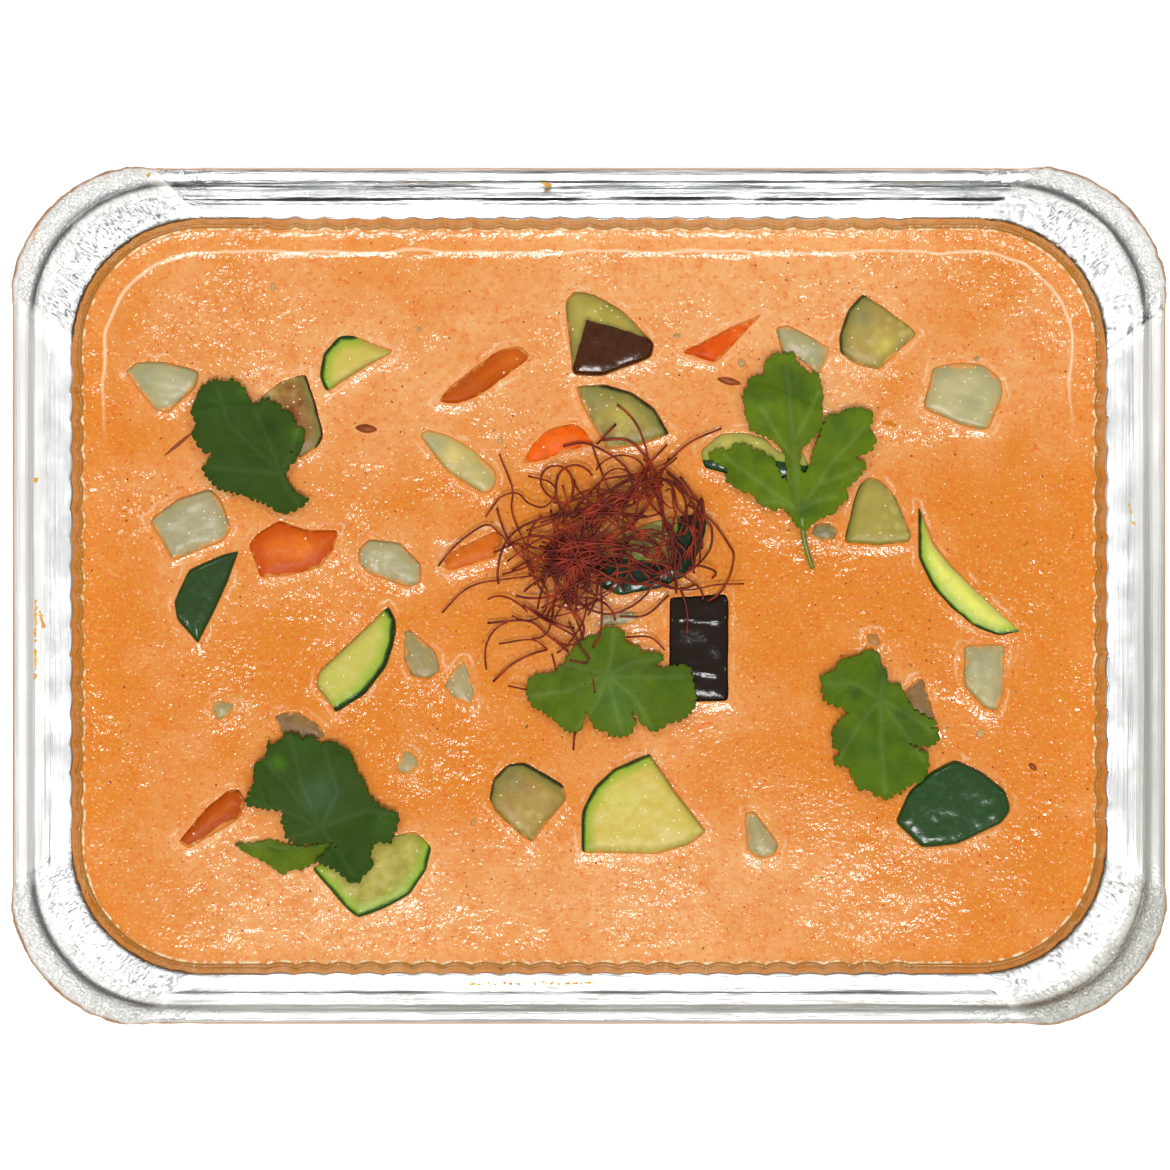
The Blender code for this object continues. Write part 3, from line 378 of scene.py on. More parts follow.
def apply_modifier(obj, kind, **settings):
    """Add a modifier with its settings and apply it."""
    take(obj)
    modifier = obj.modifiers.new(kind.lower(), kind)
    for name, value in settings.items():
        setattr(modifier, name, value)
    bpy.ops.object.modifier_apply(modifier=modifier.name)


def weld(obj, recalculate=False):
    """Merge a piece's doubles and, where asked, turn its faces outwards."""
    take(obj)
    bpy.ops.object.mode_set(mode="EDIT")
    bpy.ops.mesh.select_all(action="SELECT")
    bpy.ops.mesh.remove_doubles(threshold=MERGE)
    if recalculate:
        bpy.ops.mesh.normals_make_consistent(inside=False)
    bpy.ops.object.mode_set(mode="OBJECT")


def points_of(mesh):
    """Vertices in millimetres."""
    values = np.empty(len(mesh.vertices) * 3, np.float32)
    mesh.vertices.foreach_get("co", values)
    return values.reshape(-1, 3).astype(float) / MM


def set_points(mesh, points):
    """Move the vertices to places in millimetres."""
    mesh.vertices.foreach_set("co", (points * MM).astype(np.float32).ravel())
    mesh.update()


def normals_of(mesh):
    values = np.empty(len(mesh.vertices) * 3, np.float32)
    mesh.vertices.foreach_get("normal", values)
    return values.reshape(-1, 3).astype(float)


def set_values(mesh, name, values):
    """Keep one number for each vertex, for the material to read."""
    attribute = mesh.attributes.new(name, "FLOAT", "POINT")
    attribute.data.foreach_set("value", np.asarray(values, np.float32))


def from_photo(places):
    """Places in the photo's pixels as places over the tray in millimetres."""
    return (np.array(places, float) - PHOTO_MIDDLE) * (PHOTO_PIXEL, -PHOTO_PIXEL)


def set_tint(mesh, name, colour, node=""):
    """Keep a piece's colour for the material to read, with the node's patches in it."""
    points = points_of(mesh)[:, :2]
    tint = np.tile(linear(colour), (len(points), 1))
    for middle, radius, patch in PATCHES.get(node, ()):
        away = (points - from_photo(middle)) / (radius * PHOTO_PIXEL)
        share = np.exp(-(away ** 2).sum(axis=1))
        tint += (linear(patch) - tint) * share[:, None]
    attribute = mesh.attributes.new(name, "FLOAT_COLOR", "POINT")
    attribute.data.foreach_set("color", tint.astype(np.float32).ravel())


def finish_piece(obj, material, slot, *nodes):
    """Give a piece its material and its place in the frame."""
    obj.data.materials.clear()
    obj.data.materials.append(material)
    take(obj)
    bpy.ops.object.shade_smooth()
    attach(obj, BODY)
    if nodes:
        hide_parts(*nodes)


def smoothstep(low, high, values):
    """Zero at low and one at high, with soft ends."""
    share = np.clip((values - low) / (high - low), 0.0, 1.0)
    return share * share * (3 - 2 * share)


def wander(x, y, size, seed, octaves=2):
    """Smooth random heights from about -1 to 1, with lumps of a size in the plan."""
    table = np.random.default_rng(seed).uniform(-1.0, 1.0, (256, 256))
    total = np.zeros(np.shape(x))
    weight = 1.0
    for octave in range(octaves):
        across = np.asarray(x) / size + 17.3 * octave
        up = np.asarray(y) / size + 9.1 * octave
        column = np.floor(across).astype(int)
        row = np.floor(up).astype(int)
        u = smoothstep(0.0, 1.0, across - column)
        v = smoothstep(0.0, 1.0, up - row)
        low = table[column % 256, row % 256] * (1 - u) + table[(column + 1) % 256, row % 256] * u
        high = table[column % 256, (row + 1) % 256] * (1 - u) + table[(column + 1) % 256, (row + 1) % 256] * u
        total += weight * (low * (1 - v) + high * v)
        weight *= 0.5
        size *= 0.5
    return total


def walk_along(line):
    """How far along a line each of its points lies."""
    return np.concatenate(((0.0,), np.cumsum(np.hypot(*np.diff(line, axis=0).T))))


def places_on(line, walk, stops):
    """Places on a line at some distances along it."""
    return np.column_stack([np.interp(stops, walk, line[:, axis]) for axis in (0, 1)])


def to_line(points, line):
    """Distance in the plan from points to an open line, and how far along it the nearest place is."""
    best = np.full(len(points), np.inf)
    place = np.zeros(len(points))
    walked = 0.0
    for start, end in zip(line[:-1], line[1:]):
        step = end - start
        length = np.hypot(*step)
        share = np.clip((points - start) @ step / length ** 2, 0.0, 1.0)
        gap = np.hypot(*(points - start - share[:, None] * step).T)
        nearer = gap < best
        best[nearer] = gap[nearer]
        place[nearer] = walked + share[nearer] * length
        walked += length
    return best, place


def to_outline(points, outline):
    """The same for a closed outline, with the distance negative inside it."""
    closed = np.vstack((outline, outline[:1]))
    distance, place = to_line(points, closed)
    inside = np.zeros(len(points), bool)
    for (ax, ay), (bx, by) in zip(closed[:-1], closed[1:]):
        if ay != by:
            level = (ay > points[:, 1]) != (by > points[:, 1])
            inside ^= level & (points[:, 0] < (bx - ax) * (points[:, 1] - ay) / (by - ay) + ax)
    return np.where(inside, -distance, distance), place


def part_of_outline(outline, start, end):
    """The stretch of a closed outline, turning left, between the places nearest to two points."""
    closed = np.vstack((outline, outline[:1]))
    walk = walk_along(closed)
    _, (first, last) = to_line(np.array((start, end), float), closed)
    if last <= first:
        last += walk[-1]
    stops = [first] + [w for w in np.concatenate((walk[:-1], walk[:-1] + walk[-1])) if first < w < last]
    stops = np.array(stops + [last]) % walk[-1]
    return places_on(closed, walk, stops)


def merged_copy(name, piece_name):
    """A copy of a solid of the frame, its loose triangles joined."""
    obj = bpy.data.objects.new(piece_name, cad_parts[name].data.copy())
    bpy.context.scene.collection.objects.link(obj)
    obj.data.materials.clear()
    for attribute in [a for a in obj.data.attributes if not a.is_internal and not a.is_required]:
        obj.data.attributes.remove(attribute)
    weld(obj)
    return obj


def node_outline(name, side):
    """Outline of a solid's lower (-1) or upper (1) face in the plan, turning left."""
    bm = bmesh.new()
    bm.from_mesh(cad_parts[name].data)
    bmesh.ops.remove_doubles(bm, verts=bm.verts, dist=MERGE)
    bm.normal_update()
    onward = {}
    for face in bm.faces:
        if face.normal.z * side > 0.5:
            for loop in face.loops:
                if loop.link_loop_radial_next.face.normal.z * side <= 0.5:
                    onward[loop.vert] = loop.link_loop_next.vert
    first = here = next(iter(onward))
    outline = []
    while not outline or here != first:
        outline.append((here.co.x / MM, here.co.y / MM))
        here = onward[here]
    bm.free()
    return np.array(outline[::side], float)


def set_inputs(tree, node, inputs):
    """Set inputs to plain values, or link them from a socket or from a node's first live output."""
    for name, value in inputs.items():
        if isinstance(value, bpy.types.Node):
            value = next(socket for socket in value.outputs if socket.enabled)
        if isinstance(value, bpy.types.NodeSocket):
            tree.links.new(value, node.inputs[name])
        else:
            node.inputs[name].default_value = value


def add_node(tree, kind, inputs=None, **settings):
    """Add a node with its settings and inputs."""
    node = tree.nodes.new(kind)
    for name, value in settings.items():
        setattr(node, name, value)
    set_inputs(tree, node, inputs or {})
    return node


def new_material(name):
    """A material with a bare Principled shader: its tree, the shader and the object's coordinates."""
    material = bpy.data.materials.new(name)
    material.use_nodes = True
    tree = material.node_tree
    coords = add_node(tree, "ShaderNodeTexCoord").outputs["Object"]
    return material, tree, tree.nodes["Principled BSDF"], coords


def per(size):
    """Scale of a pattern whose lumps have a size in millimetres, on coordinates in metres."""
    return 1.0 / (size * MM)


def tinted(tree, base, tone, *shares):
    """Mix a tone into a base colour, by the product of some shares."""
    share = shares[0]
    for other in shares[1:]:
        share = add_node(tree, "ShaderNodeMath", {0: share, 1: other}, operation="MULTIPLY")
    return add_node(tree, "ShaderNodeMix", {
        FACTOR: share, COLOUR_A: base, COLOUR_B: tone}, data_type="RGBA")


def fade(tree, value, base, tone, start, end, share=1.0):
    """Mix a tone into a base colour, more and more as a value goes from its start to its end."""
    return tinted(tree, base, tone, add_node(tree, "ShaderNodeMapRange", {
        "Value": value, "From Min": start, "From Max": end, "To Max": share}))


def soft_noise(tree, coords, size, detail, start, end, low=0.0, high=1.0):
    """Noise with lumps of a size in millimetres; from start to end it goes from low to high."""
    noise = add_node(tree, "ShaderNodeTexNoise", {"Vector": coords, "Scale": per(size), "Detail": detail})
    return add_node(tree, "ShaderNodeMapRange", {
        "Value": noise, "From Min": start, "From Max": end, "To Min": low, "To Max": high})


def blotches(tree, coords, base, tone, size, detail, start, end, share=1.0):
    """Mix a tone into a base colour in soft blotches of a size in millimetres."""
    return tinted(tree, base, tone, soft_noise(tree, coords, size, detail, start, end, 0.0, share))


def streaks(tree, along, across, length, width, detail, roughness=0.5):
    """Noise drawn out along a surface: streaks of a length and a width in millimetres."""
    place = add_node(tree, "ShaderNodeCombineXYZ", {
        "X": add_node(tree, "ShaderNodeMath", {0: along, 1: length}, operation="DIVIDE"),
        "Y": add_node(tree, "ShaderNodeMath", {0: across, 1: width}, operation="DIVIDE")})
    return add_node(tree, "ShaderNodeTexNoise", {
        "Vector": place, "Scale": 1.0, "Detail": detail, "Roughness": roughness})


def thin_line(tree, value, middle, width):
    """One along the places where a value is near its middle, falling to nothing within a width."""
    off = add_node(tree, "ShaderNodeMath", {0: value, 1: middle}, operation="SUBTRACT")
    gap = add_node(tree, "ShaderNodeMath", {0: off}, operation="ABSOLUTE")
    return add_node(tree, "ShaderNodeMapRange", {
        "Value": gap, "From Min": width, "From Max": 0.0},
        interpolation_type="SMOOTHSTEP")


# The wall and the ring round the tray


def flute_offset(along, limit, depth):
    """How far a fluted wall stands out: round ribs pushed inwards, with creases between."""
    rib = np.abs(np.sin(np.pi * along / FLUTE_PITCH)) ** 0.8
    return depth * (0.5 - rib) * smoothstep(limit + 1.5, limit - 1.5, np.abs(along))


def flute_depth(height):
    """The flutes deepen over the wall's upper 5 mm, and then slowly to its foot."""
    share = np.clip((FLANGE_HEIGHT - height) / 5.0, 0.0, 1.0)
    deep = np.clip((FLANGE_HEIGHT - height) / 25.0, 0.0, 1.0)
    return FLUTE_TOP + 0.5 * share + (FLUTE_FOOT - FLUTE_TOP - 0.5) * deep


def wall_corner(height):
    """Radius of the wall's corners at a height."""
    return BASE_CORNER + (OPENING_CORNER - BASE_CORNER) * height / FLANGE_HEIGHT


def ring_columns():
    """For each column round the tray: its corner, its turn in it, and its share of the side after."""
    quarters, turns, shares = [], [], []
    for quarter in range(4):
        side = 2 * (OPENING_HALF[quarter % 2] - OPENING_CORNER)
        corner_steps = round(math.pi / 2 * OPENING_CORNER / COLUMN_SPACING)
        side_steps = round(side / COLUMN_SPACING)
        quarters += [quarter] * (corner_steps + side_steps)
        turns += [step / corner_steps for step in range(corner_steps)] + [1.0] * side_steps
        shares += [0.0] * corner_steps + [step / side_steps for step in range(side_steps)]
    # Start in the middle of a long side, so that no corner is cut by the seam
    start = -(round(OPENING_HALF[0] / COLUMN_SPACING))
    return [np.roll(np.array(values), start) for values in (quarters, turns, shares)]


def ring_plan(columns, half, radius):
    """Places of the columns on a rounded rectangle, and which way is out."""
    quarter, turn, share = columns
    side_x = np.array((1, -1, -1, 1))
    side_y = np.array((1, 1, -1, -1))
    after = (quarter + 1) % 4
    middle_x = (half[0] - radius) * (side_x[quarter] * (1 - share) + side_x[after] * share)
    middle_y = (half[1] - radius) * (side_y[quarter] * (1 - share) + side_y[after] * share)
    angle = np.pi / 2 * (quarter + turn)
    out = np.column_stack((np.cos(angle), np.sin(angle)))
    middle = np.column_stack((middle_x, middle_y))
    return middle + radius * out, out, middle


def tray_rows():
    """Rows of the sheet from the floor to the end of the bead.

    Each is: way out from the opening as a share of the rim, height, moved in on top of
    the wall's slope, and the depth of the flutes.
    """
    rows = [(0.0, FLOOR_HEIGHT, 3.2, 0.0), (0.0, 0.75, 2.1, 0.0), (0.0, 1.7, 0.9, 0.1), (0.0, 3.2, 0.2, 0.6)]
    rows += [(0.0, height, 0.0, 1.0) for height in (5.0, 12.0, 19.0, 23.0, 25.2, 26.8, 28.2, 29.2, 29.7)]
    rows += [(0.012, 29.9, 0.0, 1.0), (0.045, 30.02, 0.0, 0.75)]
    for share in (0.1, 0.16, 0.22, 0.27, *np.arange(0.3, 0.46, 0.02), 0.5, 0.54, 0.565, 0.59, 0.61, 0.635):
        rows.append((share, FLANGE_HEIGHT + 0.1, 0.0, max(0.0, 0.4 - 3.0 * share)))
    for turn in range(160, -121, -20):
        reach = 1.0 - BEAD_MIDDLE
        share = BEAD_MIDDLE + reach * math.cos(math.radians(turn))
        height = (BEAD_HEIGHT if turn > 0 else BEAD_UNDER) * math.sin(math.radians(turn))
        rows.append((share, FLANGE_HEIGHT + height, 0.0, 0.0))
    return rows


def shape_tray(columns, rows, crinkle):
    """Places of every row and column of the sheet, and the numbers its material reads."""
    quarter, turn, _ = columns
    in_corner = turn < 1.0
    corner = np.where(in_corner, np.minimum(1.0, 4.0 * np.sin(np.pi * turn)), 0.0)
    swell = CORNER_SWELL * np.where(in_corner, np.minimum(1.0, 3.0 * np.sin(np.pi * turn)), 0.0)
    opening, _, opening_middle = ring_plan(columns, OPENING_HALF, OPENING_CORNER)
    steps = np.hypot(*(opening - np.roll(opening, 1, axis=0)).T)
    # Measured both ways from the seam, so that the patterns meet there
    around = np.cumsum(steps)
    around = np.minimum(around, around[-1] - around)
    long_side = quarter % 2 == 0
    along = np.where(long_side, opening_middle[:, 0], opening_middle[:, 1])
    limit = np.where(long_side, FLUTED_LONG, FLUTED_SHORT)
    along = np.where(in_corner, 2 * limit, along)
    near_corner = np.exp(-((np.abs(along) - limit - 9.0) / 7.0) ** 2) * ~in_corner
    places, arounds, acrosses, corners, longs = [], [], [], [], []
    for share, height, moved_in, fluted in rows:
        inset = max(0.0, FLANGE_HEIGHT - height) * WALL_SLOPE + moved_in if share == 0.0 else 0.0
        half = OPENING_HALF + (TRAY_HALF - OPENING_HALF) * share - inset
        radius = OPENING_CORNER + (TRAY_CORNER - OPENING_CORNER) * share
        if share == 0.0:
            radius = wall_corner(height) - moved_in
        plan, out, _ = ring_plan(columns, half, radius)
        across = share * (TRAY_HALF[0] - OPENING_HALF[0])
        out_move = flute_offset(along, limit, flute_depth(height) * fluted)
        rise = np.zeros(len(along))
        if share == 0.0:
            pleat = np.abs(wander(around, 0 * around + height / 9.0, 2.1, SEED, 2))
            out_move -= corner * min(fluted, 1.0) * 0.3 * pleat
        elif share < BEAD_START:
            grain = wander(around / 1.5, 0 * around + across / 5.0, 1.0, SEED + 1, 2)
            rise += corner * 0.45 * crinkle * grain * min(1.0, across / 2.0)
            ripple = wander(around / 34.0, 0 * around + across / 1.1, 1.0, SEED + 2, 2)
            rise += (1 - corner) * 0.09 * ripple * min(1.0, across / 1.5)
            # A step up along the middle, firmer on the long sides, and a groove at the bead
            firm = np.clip(0.85 + 0.4 * wander(around, 0 * around, 14.0, SEED + 6, 3), 0.3, 1.2)
            firm *= np.array(CREASED)[quarter] ** 0.5
            shift = 0.012 * wander(around, 0 * around, 9.0, SEED + 7, 2)
            step = smoothstep(0.33, 0.42, share + shift) - 0.6 * smoothstep(0.42, 0.58, share)
            rise += (1 - corner) * 0.62 * firm * step
            groove = 0.45 * firm * (1 - 0.6 * corner)
            rise -= groove * np.exp(-((share - 0.6 + 0.5 * shift) / 0.035) ** 2)
        else:
            swollen = smoothstep(BEAD_START, BEAD_START + 0.1, share)
            out_move += swell * swollen
            rough = (corner + 0.55 * near_corner) * swollen
            fold = wander(around / 1.25, 0 * around + across / 1.3, 1.0, SEED + 3, 2)
            rise += crinkle * rough * (np.abs(fold) * 1.3 - 0.9)
            lean = wander(around / 1.5, 0 * around + across / 1.2 + 40, 1.0, SEED + 4, 2)
            out_move += 0.6 * crinkle * rough * (lean - 0.4)
            long_wave = wander(around / 40.0, 0 * around + across / 2.2, 1.0, SEED + 5, 2)
            rise += (1 - rough) * 0.08 * long_wave
            press = np.exp(-((np.abs(along) - limit - 11.0) / 1.1) ** 2) * ~in_corner
            rise -= 0.35 * press * swollen
        xy = plan + out * out_move[:, None]
        places.append(np.column_stack((xy, height + rise)))
        arounds.append(around)
        acrosses.append(np.full(len(along), across if share else height - FLANGE_HEIGHT))
        corners.append(np.maximum(corner, 0.6 * near_corner))
        longs.append(np.array(CREASED)[quarter] * (1 - corner))
    return tuple(np.array(values) for values in (places, arounds, acrosses, corners, longs))


def pressed_foil(colour):
    """Rolled aluminium foil, pressed to shape.

    To the eye: a bright mirror broken up by long rolling lines on the straight sides
    and by fine gathers across the corners, with painted dark reflections in its creases,
    painted shade on the bead and a brown line along its edge.
    """
    material, tree, shader, coords = new_material("pressed_aluminium_foil")
    around, across, corner, long = [
        add_node(tree, "ShaderNodeAttribute", attribute_name=name).outputs["Fac"]
        for name in ("around", "across", "corner", "long")]
    # Rolling lines 40 mm long and 0.4 mm apart, then gathers 2.2 mm long and 0.55 mm apart
    patterns = []
    for length, width, depth in ((40.0, 0.4, 0.55), (0.55, 2.2, 2.0)):
        noise = streaks(tree, around, across, length, width, 3.0, 0.6)
        patterns.append(add_node(tree, "ShaderNodeMath", {0: noise, 1: depth}, operation="MULTIPLY"))
    lines, gathers = patterns
    cracks = add_node(tree, "ShaderNodeTexVoronoi", {"Vector": coords, "Scale": per(0.6)})
    crumple = add_node(tree, "ShaderNodeMapRange", {
        "Value": across, "From Min": 5.5, "From Max": 7.5, "To Max": 0.7})
    cracked = add_node(tree, "ShaderNodeMath", {0: cracks, 1: crumple}, operation="MULTIPLY")
    rough_ends = add_node(tree, "ShaderNodeMath", {0: gathers, 1: cracked}, operation="ADD")
    relief = add_node(tree, "ShaderNodeMix", {FACTOR: corner, 2: lines, 3: rough_ends})
    bump = add_node(tree, "ShaderNodeBump", {"Strength": 1.0, "Distance": 0.3 * MM, "Height": relief})
    rough = soft_noise(tree, coords, 7.0, 4.0, 0.35, 0.7, 0.16, 0.28)
    # Painted dark reflections along creases finer than the mesh: along the sides, and short ones across the
    # corners
    runs = streaks(tree, around, across, 18.0, 1.0, 3.0)
    kept = add_node(tree, "ShaderNodeMapRange", {"Value": runs, "From Min": 0.32, "From Max": 0.5})
    dash = streaks(tree, around, across, 0.4, 1.1, 2.0)
    least = soft_noise(tree, coords, 6.0, 2.0, 0.35, 0.65, 0.61, 0.51)
    above = add_node(tree, "ShaderNodeMath", {0: dash, 1: least}, operation="SUBTRACT")
    dashes = add_node(tree, "ShaderNodeMapRange", {"Value": above, "From Max": 0.05})
    # The short ones stay on the flange, clear of the wall and of the bead
    flange = add_node(tree, "ShaderNodeMath", {
        0: thin_line(tree, across, 3.4, 4.6), 1: 1.8}, operation="MULTIPLY")
    flange = add_node(tree, "ShaderNodeMath", {0: flange, 1: 1.0}, operation="MINIMUM")
    # A painted dark reflection marks the fold that parts the bead from the flange in the corners
    marks = [(thin_line(tree, across, middle, width), kept, long)
             for middle, width in ((4.5, 1.3), (7.2, 1.1), (3.3, 0.5))]
    marks += [(dashes, corner, flange, 0.65), (thin_line(tree, across, 7.6, 1.1), kept, corner)]
    painted_crease_shade = 0.0
    for mark, *shares in marks:
        for share in shares:
            mark = add_node(tree, "ShaderNodeMath", {0: mark, 1: share}, operation="MULTIPLY")
        painted_crease_shade = add_node(tree, "ShaderNodeMath", {0: painted_crease_shade, 1: mark}, operation="MAXIMUM")
    # The bead is duller, but for the far side's: less metallic, with a pale grey painted in for its
    # blurred reflection, and painted shade makes it greyer towards the near right corner;
    # a brown line runs along its edge
    bead_less_creased = add_node(tree, "ShaderNodeMath", {0: 1.0, 1: long}, operation="SUBTRACT")
    bead = add_node(tree, "ShaderNodeMapRange", {"Value": across, "From Min": 4.5, "From Max": 6.5})
    dull = add_node(tree, "ShaderNodeMath", {0: bead_less_creased, 1: bead}, operation="MULTIPLY")
    lean = add_node(tree, "ShaderNodeVectorMath", {0: coords, 1: (0.5, -1.0, 0.0)},
                    operation="DOT_PRODUCT").outputs["Value"]
    shaded = add_node(tree, "ShaderNodeMapRange", {
        "Value": lean, "From Min": 20 * MM, "From Max": 70 * MM})
    bead_shade_tone = tinted(tree, linear("#fbf9f4"), linear("#d0d0c8"), shaded)
    # Painted dark reflection: the tone of the crease marks, browner towards the near right corner
    dark_reflection_tone = tinted(tree, linear("#30383e"), linear("#80705a"), shaded)
    greyed = tinted(tree, colour, bead_shade_tone, dull)
    crease_shaded = tinted(tree, greyed, dark_reflection_tone, painted_crease_shade, 0.85)
    # Painted dark reflection: the corners' inner edge shows a dull olive, where the foil turns down
    turn_down_shaded = tinted(tree, crease_shaded, linear("#6b6030"), thin_line(tree, across, -0.1, 0.9), corner, 0.7)
    # A brown line along the bead's outer edge
    warm = fade(tree, across, turn_down_shaded, linear("#b07c44"), 10.9, 11.3)
    metal = add_node(tree, "ShaderNodeMapRange", {"Value": dull, "To Min": 1.0, "To Max": 0.25})
    set_inputs(tree, shader, {"Base Color": warm, "Metallic": metal, "Roughness": rough, "Normal": bump})
    return material


class TRAYMEAL_OT_tray(bpy.types.Operator):
    """Add the pressed foil tray with its fluted wall, creased flange and rolled bead"""

    bl_idname = "traymeal.tray"
    bl_label = "Foil tray"

    def execute(self, context):
        sizes = context.scene.tray_meal_sizes
        columns = ring_columns()
        rows = tray_rows()
        count = len(columns[0])
        deselect_all()
        bpy.ops.mesh.primitive_grid_add(x_subdivisions=count, y_subdivisions=len(rows) - 1, size=2.0)
        tray = context.object
        tray.name = "foil_sheet"
        flat = points_of(tray.data) * MM
        column = np.rint((flat[:, 0] + 1) / 2 * count).astype(int) % count
        row = np.rint((flat[:, 1] + 1) / 2 * (len(rows) - 1)).astype(int)
        places, *numbers = shape_tray(columns, rows, sizes.crinkle / MM)
        set_points(tray.data, places[row, column])
        for name, values in zip(("around", "across", "corner", "long"), numbers):
            set_values(tray.data, name, values[row, column])
        weld(tray)
        bpy.ops.object.mode_set(mode="EDIT")
        bpy.ops.mesh.select_all(action="DESELECT")
        bpy.ops.object.mode_set(mode="OBJECT")
        lowest = points_of(tray.data)[:, 2] < FLOOR_HEIGHT + 0.01
        tray.data.vertices.foreach_set("select", lowest)
        bpy.ops.object.mode_set(mode="EDIT")
        bpy.ops.mesh.select_mode(type="VERT")
        bpy.ops.mesh.edge_face_add()
        bpy.ops.mesh.select_all(action="SELECT")
        bpy.ops.mesh.normals_make_consistent(inside=True)
        bpy.ops.object.mode_set(mode="OBJECT")
        if max(tray.data.polygons, key=lambda face: face.area).normal.z < 0:
            tray.data.flip_normals()
        apply_modifier(tray, "SOLIDIFY", thickness=sizes.foil, offset=-1.0)
        material = pressed_foil(context.scene.tray_meal_colours.foil)
        finish_piece(tray, material, "foil", "foil_tray")
        return {"FINISHED"}


# Sauce


def wall_distance(x, y, half, radius):
    """Distance to a rounded rectangle, positive inside."""
    over_x = np.abs(x) - (half[0] - radius)
    over_y = np.abs(y) - (half[1] - radius)
    outside = np.hypot(np.maximum(over_x, 0.0), np.maximum(over_y, 0.0))
    return radius - outside - np.minimum(np.maximum(over_x, over_y), 0.0)


def sauce_edge():
    """Half sizes and corner of the line where the sauce meets the wall."""
    height = SAUCE_LEVEL + MENISCUS_RISE
    return OPENING_HALF - (FLANGE_HEIGHT - height) * WALL_SLOPE, wall_corner(height)


def rounded_grid(u, v, half, radius):
    """Bend a square grid from -1 to 1 into a rounded rectangle."""
    x = u * half[0]
    y = v * half[1]
    over_x = np.clip((np.abs(x) - (half[0] - radius)) / radius, 0.0, 1.0)
    over_y = np.clip((np.abs(y) - (half[1] - radius)) / radius, 0.0, 1.0)
    corner = (over_x > 0) & (over_y > 0)
    bent_x = half[0] - radius + radius * over_x * np.sqrt(1 - over_y ** 2 / 2)
    bent_y = half[1] - radius + radius * over_y * np.sqrt(1 - over_x ** 2 / 2)
    return np.where(corner, np.sign(x) * bent_x, x), np.where(corner, np.sign(y) * bent_y, y)


def piece_distance(points, names):
    """Distance in the plan to the nearest of some solids, negative over one."""
    nearest = np.full(len(points), NEARBY)
    for name in names:
        outline = node_outline(name, -1)
        low = outline.min(axis=0) - 8.0
        high = outline.max(axis=0) + 8.0
        close = np.flatnonzero(((points > low) & (points < high)).all(axis=1))
        nearest[close] = np.minimum(nearest[close], to_outline(points[close], outline)[0])
    return nearest


def vegetable_names():
    kinds = ("onion", "carrot", "aubergine", "peel", "courgette")
    return [name for name in sorted(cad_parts) if name.startswith(kinds)]


def sauce_heights(x, y, wall, near, ripple, lip):
    """The sauce's surface: swells, ripples, lips round the vegetables and their pockets.

    Also the distance to the wall, with some wobble, and how lively and how pale each place is.
    """
    swell = np.sin(x / 13.0 + 1.0) * np.cos(y / 11.0) + 0.5 * np.sin((x + y) / 8.0)
    height = SAUCE_LEVEL + SAUCE_SWELL * swell / 1.5
    height += MENISCUS_RISE * np.exp(-wall / MENISCUS_REACH)
    outside = np.maximum(near, 0.0)
    lively = smoothstep(0.1, 0.9, wander(x, y, 17.0, SEED + 12, 2) + 0.4 * np.exp(-outside / 3.0))
    for place, reach in LIVELY:
        spot = from_photo([place])[0]
        lively = np.maximum(lively, np.exp(-((x - spot[0]) ** 2 + (y - spot[1]) ** 2) / reach ** 2))
    height += ripple * (0.35 + lively) * wander(x, y, 6.0, SEED + 10, 3)
    # A low ridge runs along the far wall and down both corners
    far = smoothstep(30.0, 46.0, y)
    wobble = 0.6 * wander(x, y, 7.0, SEED + 13, 2)
    uneven = 0.9 + 0.3 * wander(x, y, 3.0, SEED + 14, 1)
    height += 0.24 * far * uneven * np.exp(-((wall - 5.3 - wobble) / 0.75) ** 2)
    height += lip * np.exp(-outside / 0.9)
    height -= 0.5 * lip * smoothstep(0.0, -1.0, near)
    pocket = smoothstep(-1.0, -1.7, near)
    # Paler towards the near and the far wall, in patches and round the vegetables: partly a paler sauce,
    # partly painted sheen
    pale = 0.7 * smoothstep(-36.0, -56.0, y) * smoothstep(80.0, 20.0, x) + 0.75 * smoothstep(16.0, 44.0, y)
    pale *= 1 - 0.55 * smoothstep(50.0, 84.0, np.abs(x))
    pale += 0.05 + 0.12 * np.exp(-(x * x + y * y) / 900.0) - 0.15 * smoothstep(-76.0, -94.0, x)
    pale += 0.3 * wander(x, y, 21.0, SEED + 16, 2) + 0.2 * wander(x, y, 6.0, SEED + 17, 2)
    pale += 0.25 * np.exp(-outside / 3.0)
    shore = wall + wobble * smoothstep(1.5, 4.0, wall)
    return height * (1 - pocket) + POCKET_FLOOR * pocket, shore, lively, np.clip(pale, 0.0, 1.0)


def painted_glint_dots(tree, coords, colour, size, share):
    """Mix in pale dots, painted highlights of glints on tiny drops and bubbles, in some of the cells of a
    size.
    """
    cells = add_node(tree, "ShaderNodeTexVoronoi", {"Vector": coords, "Scale": per(size)})
    dot = add_node(tree, "ShaderNodeMapRange", {
        "Value": cells, "From Min": 0.2, "From Max": 0.1, "To Max": 0.85})
    pick = add_node(tree, "ShaderNodeSeparateColor", {"Color": cells.outputs["Color"]})
    some = add_node(tree, "ShaderNodeMath", {0: pick, 1: share}, operation="LESS_THAN")
    return tinted(tree, colour, linear("#fff0cc"), dot, some)


